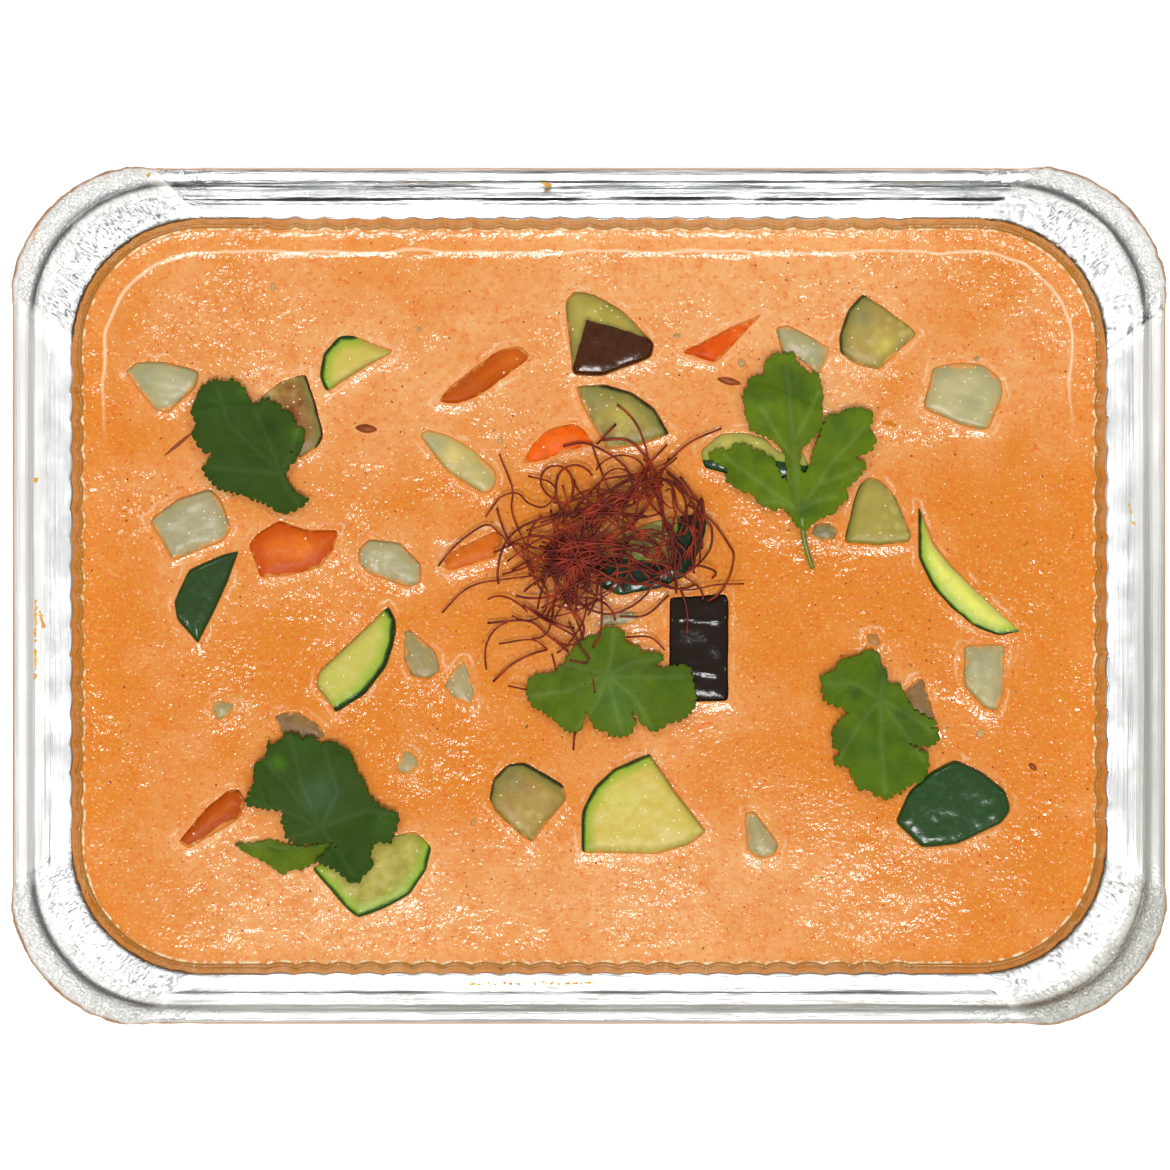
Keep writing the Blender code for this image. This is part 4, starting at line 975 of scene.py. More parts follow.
def curry_sauce(colour):
    """Coconut curry sauce, ground spices and chilli oil in it, cooked and cooled.

    To the eye: a smooth opaque orange, paler where it was stirred up, with soft
    red-orange grains, under a wet oily gloss that sparkles on ridges and tiny drops.
    Its paleness is partly painted sheen; the pale lines on the ridges and the pale
    dots are painted highlights, and the browner edge at the wall is painted shade.
    """
    material, tree, shader, coords = new_material("coconut_curry_sauce")
    near, wall, lively, pale_tone_and_sheen = [
        add_node(tree, "ShaderNodeAttribute", attribute_name=name).outputs["Fac"]
        for name in ("near", "wall", "lively", "pale")]
    # A paler sauce and painted sheen, mixed in by the pale attribute
    base = tinted(tree, colour, linear("#eeaa6a"), pale_tone_and_sheen)
    # Clots of 5 mm, then grains
    for size, detail, low, high, strength, tone in (
            (5.0, 3.0, 0.45, 0.70, 0.40, "#e07c26"),
            (1.6, 2.0, 0.48, 0.70, 0.40, "#e07420"),
            (0.8, 1.0, 0.58, 0.72, 0.55, "#e0601a"),
            (0.6, 1.0, 0.58, 0.72, 0.40, "#f6c080")):
        moved = add_node(tree, "ShaderNodeVectorMath", {0: coords, 1: (size, 2 * size, 3 * size)},
                         operation="ADD")
        base = blotches(tree, moved, base, linear(tone), size, detail, low, high, strength)
    # Ground chilli: dots 0.2 to 0.3 mm across in a few of the 2 mm cells
    cells = add_node(tree, "ShaderNodeTexVoronoi", {"Vector": coords, "Scale": per(2.0)})
    dot = add_node(tree, "ShaderNodeMapRange", {
        "Value": cells, "From Min": 0.15, "From Max": 0.06, "To Max": 0.8})
    pick = add_node(tree, "ShaderNodeSeparateColor", {"Color": cells.outputs["Color"]})
    some = add_node(tree, "ShaderNodeMath", {0: pick, 1: 0.7}, operation="GREATER_THAN")
    dots = tinted(tree, base, linear("#bc4418"), dot, some)
    # Thin ridges about the vegetables and along the wall, their paler colour a painted highlight
    sway = soft_noise(tree, coords, 3.0, 2.0, 0.3, 0.7, -0.5, 0.5)
    swayed = add_node(tree, "ShaderNodeMath", {0: near, 1: sway}, operation="ADD")
    ridges = add_node(tree, "ShaderNodeMath", {
        0: thin_line(tree, swayed, 0.9, 0.5), 1: soft_noise(tree, coords, 5.0, 2.0, 0.46, 0.62)},
        operation="MULTIPLY")
    pale = add_node(tree, "ShaderNodeMath", {0: ridges, 1: 0.4}, operation="MULTIPLY")
    # The one along the far wall and round both corners has a whiter painted highlight and is hardly broken
    place = add_node(tree, "ShaderNodeSeparateXYZ", {"Vector": coords})
    far = add_node(tree, "ShaderNodeMapRange", {
        "Value": place.outputs["Y"], "From Min": 30 * MM, "From Max": 46 * MM, "To Max": 0.75})
    shore = add_node(tree, "ShaderNodeMath", {0: thin_line(tree, wall, 5.3, 0.55), 1: far},
                     operation="MULTIPLY")
    pale = add_node(tree, "ShaderNodeMath", {0: pale, 1: shore}, operation="MAXIMUM")
    painted_ridge_glint = tinted(tree, dots, linear("#fddcb4"), pale)
    # Painted shade where the sauce meets the wall: browner towards the wall, and darkest in a line where it
    # starts
    film_and_painted_light = fade(tree, wall, painted_ridge_glint, linear("#b8742e"), 0.8, 0.5, 0.7)
    lined = tinted(tree, film_and_painted_light, linear("#9a7028"), thin_line(tree, wall, 0.6, 0.3))
    # Where it turns up to the foil, the light runs along it in a dotted line
    dotted = soft_noise(tree, coords, 1.5, 1.0, 0.46, 0.6, 0.0, 0.85)
    shiny = tinted(tree, lined, linear("#fff0c4"), thin_line(tree, wall, 1.0, 0.38), dotted)
    # Painted highlights: pale glint dots, more where the sauce is lively
    share = add_node(tree, "ShaderNodeMapRange", {"Value": lively, "To Min": 0.18, "To Max": 0.6})
    glint_dotted = painted_glint_dots(tree, coords, shiny, 1.0, share)
    # Relief: rolls of 3 mm where it is lively, the ridges, and an orange-peel grain of 0.7 mm
    rolls = add_node(tree, "ShaderNodeTexNoise", {"Vector": coords, "Scale": per(3.0), "Detail": 2.5})
    strength = add_node(tree, "ShaderNodeMapRange", {"Value": lively, "To Min": 0.12, "To Max": 1.0})
    relief = add_node(tree, "ShaderNodeBump", {"Strength": strength, "Distance": 0.62 * MM, "Height": rolls})
    peel = add_node(tree, "ShaderNodeTexNoise", {"Vector": coords, "Scale": per(0.75), "Detail": 1.0})
    for height, pattern in ((0.06, ridges), (0.05, peel)):
        relief = add_node(tree, "ShaderNodeBump", {
            "Strength": 1.0, "Distance": height * MM, "Height": pattern, "Normal": relief})
    set_inputs(tree, shader, {
        "Base Color": glint_dotted, "Normal": relief, "Roughness": 0.12, "Specular IOR Level": 0.22})
    return material


class TRAYMEAL_OT_sauce(bpy.types.Operator):
    """Add the curry sauce, up to its level and round everything that stands in it"""

    bl_idname = "traymeal.sauce"
    bl_label = "Curry sauce"

    def execute(self, context):
        sizes = context.scene.tray_meal_sizes
        half, radius = sauce_edge()
        counts = [round(2 * length / SAUCE_SPACING) for length in half]
        deselect_all()
        bpy.ops.mesh.primitive_grid_add(x_subdivisions=counts[0], y_subdivisions=counts[1], size=2.0)
        sauce = context.object
        sauce.name = "sauce"
        flat = points_of(sauce.data) * MM
        x, y = rounded_grid(flat[:, 0], flat[:, 1], half, radius)
        wall = np.maximum(wall_distance(x, y, half, radius), 0.0)
        hold = np.clip(1.0 - wall / 4.0, 0.0, 1.0) ** 1.3
        depth = flute_depth(SAUCE_LEVEL + MENISCUS_RISE)
        on_long = np.abs(flat[:, 1]) * half[1] - half[1] > np.abs(flat[:, 0]) * half[0] - half[0]
        rib_y = flute_offset(x, FLUTED_LONG, depth) + INTO_FOIL
        rib_x = flute_offset(y, FLUTED_SHORT, depth) + INTO_FOIL
        y = y + np.where(on_long, np.sign(y) * hold * rib_y, 0.0)
        x = x + np.where(on_long, 0.0, np.sign(x) * hold * rib_x)
        near = piece_distance(np.column_stack((x, y)), vegetable_names())
        height, *numbers = sauce_heights(x, y, wall, near, sizes.ripple / MM, sizes.lip / MM)
        set_points(sauce.data, np.column_stack((x, y, height)))
        # The sides: the border drawn down along the wall to the floor
        take(sauce)
        bpy.ops.object.mode_set(mode="EDIT")
        bpy.ops.mesh.select_mode(type="VERT")
        bpy.ops.mesh.select_all(action="DESELECT")
        bpy.ops.mesh.select_non_manifold(extend=False, use_boundary=True)
        ring_half = half
        for level, moved_in in ((SAUCE_LEVEL - 2.0, 1.0), (2.0, 1.8), (0.7, 4.0)):
            bpy.ops.mesh.extrude_edges_move()
            bpy.ops.object.mode_set(mode="OBJECT")
            picked = np.zeros(len(sauce.data.vertices), bool)
            sauce.data.vertices.foreach_get("select", picked)
            points = points_of(sauce.data)
            next_half = OPENING_HALF - (FLANGE_HEIGHT - level) * WALL_SLOPE - moved_in
            points[picked, :2] *= next_half / ring_half
            points[picked, 2] = level
            ring_half = next_half
            set_points(sauce.data, points)
            bpy.ops.object.mode_set(mode="EDIT")
        bpy.ops.mesh.edge_face_add()
        bpy.ops.mesh.select_all(action="SELECT")
        bpy.ops.mesh.normals_make_consistent(inside=False)
        bpy.ops.object.mode_set(mode="OBJECT")
        for name, values in zip(("near", "wall", "lively", "pale"), (near, *numbers)):
            whole = np.zeros(len(sauce.data.vertices))
            whole[:len(values)] = values
            set_values(sauce.data, name, whole)
        finish_piece(sauce, curry_sauce(context.scene.tray_meal_colours.sauce), "sauce", "curry_sauce")
        return {"FINISHED"}


# Vegetables


def carve(node, name, rough, rib=0.0):
    """A soft, slightly uneven piece over a vegetable's solid, with numbers for its material."""
    outline = node_outline(node, -1)
    obj = merged_copy(node, name)
    apply_modifier(obj, "REMESH", mode="VOXEL", voxel_size=VOXEL * MM)
    apply_modifier(obj, "SMOOTH", factor=0.5, iterations=22)
    points = points_of(obj.data)
    normals = normals_of(obj.data)
    centre = outline.mean(axis=0)
    _, _, axes = np.linalg.svd(outline - centre)
    grain = (points[:, :2] - centre) @ axes.T
    seed = sum(map(ord, node))
    lumps = wander(points[:, 0] + points[:, 2], points[:, 1], 3.2, seed, 2)
    ribs = np.sin(2 * np.pi * grain[:, 1] / RIB_PITCH + 2.0 * wander(*grain.T, 6.0, seed, 1))
    top = smoothstep(0.35, 0.85, normals[:, 2])
    distance, _ = to_outline(points[:, :2], outline)
    # The top is one soft dome: a plane through it, a little higher in the middle
    inner = (normals[:, 2] > 0.9) & (distance < -0.8)
    level = np.column_stack((points[:, :2] - centre, np.ones(len(points))))
    plane = level @ np.linalg.lstsq(level[inner], points[inner, 2], rcond=None)[0]
    depth = np.clip(-distance / 3.0, 0.0, 1.0)
    dome = plane - 0.28 + 0.4 * depth * (2.0 - depth)
    points[:, 2] += (dome - points[:, 2]) * top
    move = rough * lumps + rib * ribs * top
    set_points(obj.data, points + normals * move[:, None])
    set_values(obj.data, "edge", -distance)
    set_values(obj.data, "grain_u", grain[:, 0])
    set_values(obj.data, "grain_v", grain[:, 1])
    return obj, outline, points


def skin_distance(points, outline, skin):
    """How far each point lies from the skin, zero on a patch of it."""
    if isinstance(skin, tuple):
        line = part_of_outline(outline, *skin)
        return to_line(points[:, :2], line)[0]
    return np.maximum(to_outline(points[:, :2], np.array(skin, float))[0], 0.0)


def soft_cut(tree, coords, size):
    """Relief of a cooked cut face: cells of a size and the sauce's own small grains."""
    cells = add_node(tree, "ShaderNodeTexNoise", {"Vector": coords, "Scale": per(size), "Detail": 1.0})
    grains = add_node(tree, "ShaderNodeTexNoise", {"Vector": coords, "Scale": per(0.7), "Detail": 1.0})
    low = add_node(tree, "ShaderNodeBump", {"Strength": 1.0, "Distance": 0.07 * MM, "Height": cells})
    return add_node(tree, "ShaderNodeBump", {
        "Strength": 1.0, "Distance": 0.02 * MM, "Height": grains, "Normal": low})


def sauce_film(tree, coords, flesh, reach, amount):
    """Mix in the sauce that laps over the edges and lies in drops on top."""
    edge = add_node(tree, "ShaderNodeAttribute", attribute_name="edge").outputs["Fac"]
    shift = soft_noise(tree, coords, 2.0, 3.0, 0.3, 0.7, -0.6 * reach, 0.9 * reach)
    moved = add_node(tree, "ShaderNodeMath", {0: edge, 1: shift}, operation="SUBTRACT")
    lap = add_node(tree, "ShaderNodeMapRange", {
        "Value": moved, "From Min": reach, "From Max": 0.15 * reach, "To Max": 0.85},
        interpolation_type="SMOOTHSTEP")
    drops = soft_noise(tree, coords, 1.3, 2.0, 0.62, 0.72, 0.0, amount)
    most = add_node(tree, "ShaderNodeMath", {0: lap, 1: drops}, operation="MAXIMUM")
    return tinted(tree, flesh, linear("#e59a4c"), most)


def cooked_onion():
    """Onion, cut in squares and simmered until translucent.

    To the eye: a pale greenish cream with fine veins along it, greyer towards the
    edges where the orange shows through, wet on top.
    """
    material, tree, shader, coords = new_material("simmered_onion")
    flesh = add_node(tree, "ShaderNodeAttribute", attribute_name="flesh").outputs["Color"]
    along, across, edge = [
        add_node(tree, "ShaderNodeAttribute", attribute_name=name).outputs["Fac"]
        for name in ("grain_u", "grain_v", "edge")]
    # Veins 1.1 mm apart that run the length of the piece
    veins = streaks(tree, along, across, 9.0, 1.1, 2.0)
    pale = fade(tree, veins, flesh, linear("#e2dcb4"), 0.35, 0.7, 0.14)
    body = blotches(tree, coords, pale, linear("#8f8f68"), 5.0, 2.0, 0.42, 0.7, 0.5)
    dull = fade(tree, edge, body, linear("#a08c52"), 3.0, 0.3, 0.6)
    colour = sauce_film(tree, coords, dull, 0.9, 0.12)
    # Painted highlights: pale glint dots
    colour = painted_glint_dots(tree, coords, colour, 1.0, 0.3)
    set_inputs(tree, shader, {
        "Base Color": colour, "Normal": soft_cut(tree, coords, 2.0), "Roughness": 0.3,
        "Specular IOR Level": 0.3, "Subsurface Weight": 0.15,
        "Subsurface Radius": (1.2 * MM, 1.0 * MM, 0.6 * MM)})
    return material


def cooked_carrot():
    """Carrot, cut across and boiled soft.

    To the eye: a deep orange that turns redder at the edge and lighter in the core.
    """
    material, tree, shader, coords = new_material("boiled_carrot")
    flesh = add_node(tree, "ShaderNodeAttribute", attribute_name="flesh").outputs["Color"]
    edge = add_node(tree, "ShaderNodeAttribute", attribute_name="edge").outputs["Fac"]
    light = fade(tree, edge, flesh, linear("#f07f22"), 1.6, 4.2, 0.55)
    body = blotches(tree, coords, light, linear("#c04a12"), 1.4, 3.0, 0.4, 0.7, 0.45)
    colour = sauce_film(tree, coords, body, 0.6, 0.1)
    # Painted highlights: pale glint dots
    colour = painted_glint_dots(tree, coords, colour, 1.3, 0.1)
    set_inputs(tree, shader, {
        "Base Color": colour, "Normal": soft_cut(tree, coords, 1.6), "Roughness": 0.3,
        "Specular IOR Level": 0.06})
    return material


def cooked_flesh_and_skin(name, rind, seeds, mottle):
    """Courgette or aubergine, cut in wedges and simmered with its skin on.

    To the eye: a thin dark glossy skin, a lighter rind under it, and soft flesh with
    its seeds lying in rows towards the middle.
    """
    material, tree, shader, coords = new_material(name)
    flesh, skin = [add_node(tree, "ShaderNodeAttribute", attribute_name=name).outputs["Color"]
                   for name in ("flesh", "skin")]
    depth, width, edge = [add_node(tree, "ShaderNodeAttribute", attribute_name=name).outputs["Fac"]
                          for name in ("depth", "width", "edge")]
    shift = soft_noise(tree, coords, 3.0, 2.0, 0.3, 0.7, -0.15, 0.15)
    moved = add_node(tree, "ShaderNodeMath", {0: depth, 1: shift}, operation="ADD")
    # Depth under the skin, in skin widths
    layer = add_node(tree, "ShaderNodeMath", {0: moved, 1: width}, operation="DIVIDE")
    cloudy = blotches(tree, coords, flesh, linear(seeds), 2.6, 3.0, 0.35, 0.7, 0.55)
    # A thin darker line follows every cut edge
    body = fade(tree, edge, cloudy, linear("#7c7238"), 2.0, 0.2, 0.55)
    # Seeds: pale ovals about 1.6 mm long, deeper than 6 mm
    cells = add_node(tree, "ShaderNodeTexVoronoi", {"Vector": coords, "Scale": per(2.0)})
    oval = add_node(tree, "ShaderNodeMapRange", {"Value": cells, "From Min": 0.5, "From Max": 0.25})
    inner = add_node(tree, "ShaderNodeMapRange", {
        "Value": depth, "From Min": 5.0, "From Max": 8.0, "To Max": 0.25})
    seedy = tinted(tree, body, linear("#d8d070"), oval, inner)
    rinded = fade(tree, layer, seedy, linear(rind), 3.2, 1.1, 0.95)
    film_and_painted_light = sauce_film(tree, coords, rinded, 0.55, 0.1)
    # Painted highlights: pale glint dots
    film_and_painted_light = painted_glint_dots(tree, coords, film_and_painted_light, 1.1, 0.25)
    mottled = blotches(tree, coords, skin, linear(mottle), 1.1, 2.0, 0.5, 0.72, 0.6)
    outer = add_node(tree, "ShaderNodeMapRange", {"Value": layer, "From Min": 1.25, "From Max": 0.7})
    gloss = add_node(tree, "ShaderNodeMapRange", {"Value": outer, "To Min": 0.3, "To Max": 0.15})
    set_inputs(tree, shader, {
        "Base Color": tinted(tree, film_and_painted_light, mottled, outer), "Normal": soft_cut(tree, coords, 2.2),
        "Roughness": gloss, "Specular IOR Level": 0.16})
    return material


def brown_peel():
    """Thin brown peel, softened in the sauce.

    To the eye: a dull greyish brown, streaked, with sauce lapping over it.
    """
    material, tree, shader, coords = new_material("softened_peel")
    flesh = add_node(tree, "ShaderNodeAttribute", attribute_name="flesh").outputs["Color"]
    body = blotches(tree, coords, flesh, linear("#6d4a30"), 2.0, 4.0, 0.4, 0.7, 0.6)
    colour = sauce_film(tree, coords, body, 0.8, 0.3)
    set_inputs(tree, shader, {
        "Base Color": colour, "Normal": soft_cut(tree, coords, 1.5), "Roughness": 0.35,
        "Specular IOR Level": 0.2})
    return material


def add_plain(kind, table, material, rough, rib=0.0):
    """Pieces of one colour all through."""
    for number, flesh in table.items():
        node = f"{kind}_{number}"
        obj, _, _ = carve(node, f"{kind}_piece_{number}", rough, rib)
        set_tint(obj.data, "flesh", flesh, node)
        finish_piece(obj, material, kind, node)


class TRAYMEAL_OT_onions(bpy.types.Operator):
    """Add the pale pieces of onion"""

    bl_idname = "traymeal.onions"
    bl_label = "Onions"

    def execute(self, context):
        add_plain("onion", ONIONS, cooked_onion(), 0.1, 0.012)
        return {"FINISHED"}


class TRAYMEAL_OT_carrots(bpy.types.Operator):
    """Add the pieces of carrot"""

    bl_idname = "traymeal.carrots"
    bl_label = "Carrots"

    def execute(self, context):
        add_plain("carrot", CARROTS, cooked_carrot(), 0.08)
        return {"FINISHED"}


def add_skinned(kind, table, material):
    """Pieces with a skin: courgettes and aubergines."""
    for number, (flesh, skin, where, width) in table.items():
        node = f"{kind}_{number}"
        obj, outline, points = carve(node, f"{kind}_piece_{number}", 0.07)
        set_tint(obj.data, "flesh", flesh, node)
        set_tint(obj.data, "skin", skin)
        set_values(obj.data, "depth", skin_distance(points, outline, where))
        set_values(obj.data, "width", np.full(len(points), width))
        finish_piece(obj, material, kind, node)


class TRAYMEAL_OT_aubergines(bpy.types.Operator):
    """Add the pieces of aubergine"""

    bl_idname = "traymeal.aubergines"
    bl_label = "Aubergines"

    def execute(self, context):
        material = cooked_flesh_and_skin("simmered_aubergine", "#7c7836", "#b8a04c", "#1c120a")
        add_skinned("aubergine", AUBERGINES, material)
        # The piece that lies skin up has two fine folds across it
        mesh = bpy.data.objects["aubergine_piece_7"].data
        points = points_of(mesh)
        top = smoothstep(0.4, 0.9, normals_of(mesh)[:, 2])
        bend = 0.5 * wander(points[:, 0], points[:, 1], 4.0, SEED + 60, 2)
        for fold in FOLDS:
            points[:, 2] += 0.16 * top * np.exp(-((points[:, 1] - fold + bend) / 0.45) ** 2)
        set_points(mesh, points)
        return {"FINISHED"}


class TRAYMEAL_OT_courgettes(bpy.types.Operator):
    """Add the slices and wedges of courgette"""

    bl_idname = "traymeal.courgettes"
    bl_label = "Courgettes"

    def execute(self, context):
        material = cooked_flesh_and_skin("simmered_courgette", "#8fb028", "#cfc060", "#365c2a")
        add_skinned("courgette", COURGETTES, material)
        return {"FINISHED"}


class TRAYMEAL_OT_peels(bpy.types.Operator):
    """Add the brown pieces of peel"""

    bl_idname = "traymeal.peels"
    bl_label = "Peels"

    def execute(self, context):
        add_plain("peel", PEELS, brown_peel(), 0.1)
        return {"FINISHED"}


# Herb leaves


def toothed(outline):
    """A leaf's outline drawn finely, with round teeth along it."""
    closed = np.vstack((outline, outline[:1]))
    walk = walk_along(closed)
    steps = np.arange(0.0, walk[-1], LEAF_STEP)
    line = places_on(closed, walk, steps)
    line = (np.roll(line, 1, axis=0) + 2 * line + np.roll(line, -1, axis=0)) / 4
    along = np.roll(line, -1, axis=0) - np.roll(line, 1, axis=0)
    out = np.column_stack((along[:, 1], -along[:, 0])) / np.hypot(*along.T)[:, None]
    teeth = max(3, round(walk[-1] / TOOTH_LENGTH))
    phase = np.pi * teeth * steps / walk[-1] + 2.4 * wander(steps, 0 * steps, 4.0, SEED + 20, 2)
    uneven = 0.8 + 0.6 * wander(steps, 0 * steps, 2.5, SEED + 21, 1)
    bulge = TOOTH_HEIGHT * uneven * (np.abs(np.sin(phase)) ** 0.6 - 0.55)
    return line + out * bulge[:, None]


def leaf_veins(number):
    """The leaf's main veins, and the side veins that branch from them."""
    _, hub, mains = LEAVES[number]
    lines = [np.array([hub] + main, float) for main in mains]
    sides = []
    for line in lines:
        walk = walk_along(line)
        for count, place in enumerate(np.arange(2.6, walk[-1] - 0.8, 2.1)):
            start, ahead = places_on(line, walk, (place, place + 0.3))
            ahead -= start
            turn = math.radians(38.0 if count % 2 else -38.0)
            way = np.array((ahead[0] * math.cos(turn) - ahead[1] * math.sin(turn),
                            ahead[0] * math.sin(turn) + ahead[1] * math.cos(turn)))
            way /= np.hypot(*way)
            sides.append(np.array([start, start + way * (2.2 + 1.0 * math.sin(7.0 * place))]))
    return lines, sides


def leaf_blade(number):
    """The blade as a fine net of triangles: its plan, its faces and its distance to the veins."""
    outline = from_photo(LEAF_OUTLINES[number])
    # Turning left, as the solids' outlines do
    if np.cross(outline, np.roll(outline, -1, axis=0)).sum() < 0:
        outline = outline[::-1]
    outline = toothed(outline)
    low = outline.min(axis=0)
    high = outline.max(axis=0)
    grid = []
    for k, y in enumerate(np.arange(low[1], high[1], LEAF_GRID * 0.87)):
        for x in np.arange(low[0] + (k % 2) * LEAF_GRID / 2, high[0], LEAF_GRID):
            grid.append((x, y))
    grid = np.array(grid)
    distance, _ = to_outline(grid, outline)
    mains, sides = leaf_veins(number)
    veins = mains + sides
    near_vein = np.min([to_line(grid, vein)[0] for vein in veins], axis=0)
    grid = grid[(distance < -0.3) & (near_vein > 0.2)]
    points = [Vector(p) for p in outline]
    edges = [(k, (k + 1) % len(points)) for k in range(len(points))]
    for vein in veins:
        walk = walk_along(vein)
        stops = np.linspace(0.0, walk[-1], max(2, round(walk[-1] / 0.5)))
        line = places_on(vein, walk, stops)
        line = line[to_outline(line, outline)[0] < -0.25]
        points += [Vector(p) for p in line]
    points += [Vector(p) for p in grid]
    flat, _, faces, _, _, _ = delaunay_2d_cdt(points, edges, [], 1, 1e-5)
    flat = np.array([tuple(p) for p in flat])
    # A gap between lobes stays open, also where the teeth on its two sides meet
    middles = np.array([flat[list(face)].mean(axis=0) for face in faces])
    faces = [face for face, out in zip(faces, to_outline(middles, outline)[0]) if out < 0.02]
    near_vein = np.min([to_line(flat, vein)[0] for vein in mains], axis=0)
    near_side = np.min([to_line(flat, vein)[0] for vein in sides], axis=0)
    near_vein = np.minimum(near_vein, near_side + 0.45)
    return flat, faces, near_vein, to_outline(flat, outline)[0], to_line(flat, veins[0])[0]


def herb_leaf():
    """Fresh coriander leaf.

    To the eye: a satin green blade, yellower where light comes through, with painted shade
    in its folds, and a net of fine pale veins pressed into it.
    """
    material, tree, shader, coords = new_material("fresh_herb_blade")
    blade = add_node(tree, "ShaderNodeAttribute", attribute_name="blade").outputs["Color"]
    vein, fold = [add_node(tree, "ShaderNodeAttribute", attribute_name=name).outputs["Fac"]
                  for name in ("vein", "fold")]
    dark = tinted(tree, blade, linear("#274012"), 0.55)
    body = blotches(tree, coords, blade, dark, 4.5, 3.0, 0.4, 0.68, 0.6)
    # Painted shade: darker in the folds
    fold_shaded = tinted(tree, body, linear("#2b4414"), fold)
    line = add_node(tree, "ShaderNodeMapRange", {
        "Value": vein, "From Min": 0.8, "From Max": 0.0, "To Max": 0.5})
    light = add_node(tree, "ShaderNodeHueSaturation", {
        "Color": fold_shaded, "Saturation": 0.85, "Value": 1.5})
    cells = add_node(tree, "ShaderNodeTexVoronoi", {"Vector": coords, "Scale": per(0.9)})
    bump = add_node(tree, "ShaderNodeBump", {"Strength": 0.5, "Distance": 0.08 * MM, "Height": cells})
    set_inputs(tree, shader, {
        "Base Color": tinted(tree, fold_shaded, light, line), "Normal": bump, "Roughness": 0.5,
        "Specular IOR Level": 0.05})
    return material


def herb_stem():
    """Leaf stalk, round and fleshy: a lighter green than the blade, glossy."""
    material, tree, shader, coords = new_material("fresh_herb_stalk")
    mottling = add_node(tree, "ShaderNodeTexNoise", {"Vector": coords, "Scale": per(1.2), "Detail": 2.0})
    colour = tinted(tree, linear("#4c6420"), linear("#7c9a3c"), mottling)
    set_inputs(tree, shader, {"Base Color": colour, "Roughness": 0.35})
    return material


def tubes(name, routes, radius, resolution=1):
    """Round strands along routes given in millimetres, as one mesh."""
    curve = bpy.data.curves.new(name, "CURVE")
    curve.dimensions = "3D"
    curve.bevel_depth = radius
    curve.bevel_resolution = resolution
    curve.use_fill_caps = True
    for route, widths in routes:
        spline = curve.splines.new("POLY")
        spline.points.add(len(route) - 1)
        for point, place, width in zip(spline.points, route, widths):
            point.co = (*(np.array(place) * MM), 1.0)
            point.radius = width
    obj = bpy.data.objects.new(name, curve)
    bpy.context.scene.collection.objects.link(obj)
    take(obj)
    bpy.ops.object.convert(target="MESH")
    obj = bpy.context.object
    weld(obj, recalculate=True)
    return obj


def smooth_route(points, spacing):
    """Places along a Catmull-Rom curve through a route's own points."""
    points = np.array(points, float)
    padded = np.vstack((2 * points[0] - points[1], points, 2 * points[-1] - points[-2]))
    result = []
    for k in range(len(points) - 1):
        p0, p1, p2, p3 = padded[k:k + 4]
        steps = max(1, round(np.hypot(*(p2 - p1)[:2]) / spacing))
        for t in np.arange(steps) / steps:
            result.append(0.5 * (2 * p1 + (p2 - p0) * t + (2 * p0 - 5 * p1 + 4 * p2 - p3) * t * t
                                 + (3 * p1 - p0 - 3 * p2 + p3) * t ** 3))
    result.append(points[-1])
    return np.array(result)


class TRAYMEAL_OT_leaves(bpy.types.Operator):
    """Add the herb leaves with their veins and stalks"""

    bl_idname = "traymeal.leaves"
    bl_label = "Herb leaves"

    def execute(self, context):
        thickness = context.scene.tray_meal_sizes.leaf
        material = herb_leaf()
        stalk = herb_stem()
        for number, (colour, _, _) in LEAVES.items():
            node = f"herb_leaf_{number}"
            flat, faces, vein, margin, midrib = leaf_blade(number)
            solid = merged_copy(node, f"blade_{number}")
            tree = BVHTree.FromObject(solid, bpy.context.evaluated_depsgraph_get())
            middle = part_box(node)[0].z / 2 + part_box(node)[1].z / 2
            height = []
            for x, y in flat:
                place, _, _, _ = tree.find_nearest(Vector((x * MM, y * MM, middle)))
                height.append(place.z / MM)
            height = np.array(height)
            height += 0.3 * (1 - np.exp(-vein / 1.3)) - 0.1
            height += 0.25 * wander(flat[:, 0], flat[:, 1], 5.0, SEED + number, 2)
            height += 0.2 * np.sin(margin * 1.1) * np.exp(margin / 3.0)
            mesh = bpy.data.meshes.new(node)
            mesh.from_pydata(np.column_stack((flat, height)) * MM, [], faces)
            bpy.data.meshes.remove(solid.data)
            leaf = bpy.data.objects.new(f"herb_blade_{number}", mesh)
            context.scene.collection.objects.link(leaf)
            set_values(mesh, "vein", vein)
            # Painted shade, read as fold: darker along the midrib and in soft patches
            fold = smoothstep(1.6, 0.3, midrib) * 0.25
            fold += 0.35 * smoothstep(0.3, 0.9, wander(*flat.T, 7.0, SEED + 30 + number))
            set_values(mesh, "fold", fold)
            apply_modifier(leaf, "SOLIDIFY", thickness=thickness, offset=0.0)
            set_tint(leaf.data, "blade", colour, node)
            finish_piece(leaf, material, "herb_leaf", node)
            if number in STEMS:
                route = smooth_route([(*p, STEM_HEIGHT - 0.25 * k) for k, p in enumerate(STEMS[number])], 0.6)
                stem = tubes(f"herb_stalk_{number}", [(route, np.linspace(1.0, 0.75, len(route)))],
                             0.55 * MM, 3)
                finish_piece(stem, stalk, "herb_leaf")
        return {"FINISHED"}


# Chilli threads


def dried_chilli(colour):
    """Dried red chilli, cut in threads half a millimetre wide.

    To the eye: a dark brownish red that catches orange-red along its edges; here the orange-red is a painted
    highlight, laid in soft blotches.
    """
    material, tree, shader, coords = new_material("dried_chilli_thread")
    # Painted highlight: orange-red blotches
    highlight_blotched = blotches(tree, coords, colour, linear("#b43c1c"), 3.0, 3.0, 0.43, 0.68, 0.9)
    body = blotches(tree, coords, highlight_blotched, linear("#36100a"), 1.5, 2.0, 0.5, 0.75, 0.7)
    set_inputs(tree, shader, {"Base Color": body, "Roughness": 0.45, "Specular IOR Level": 0.25})
    return material


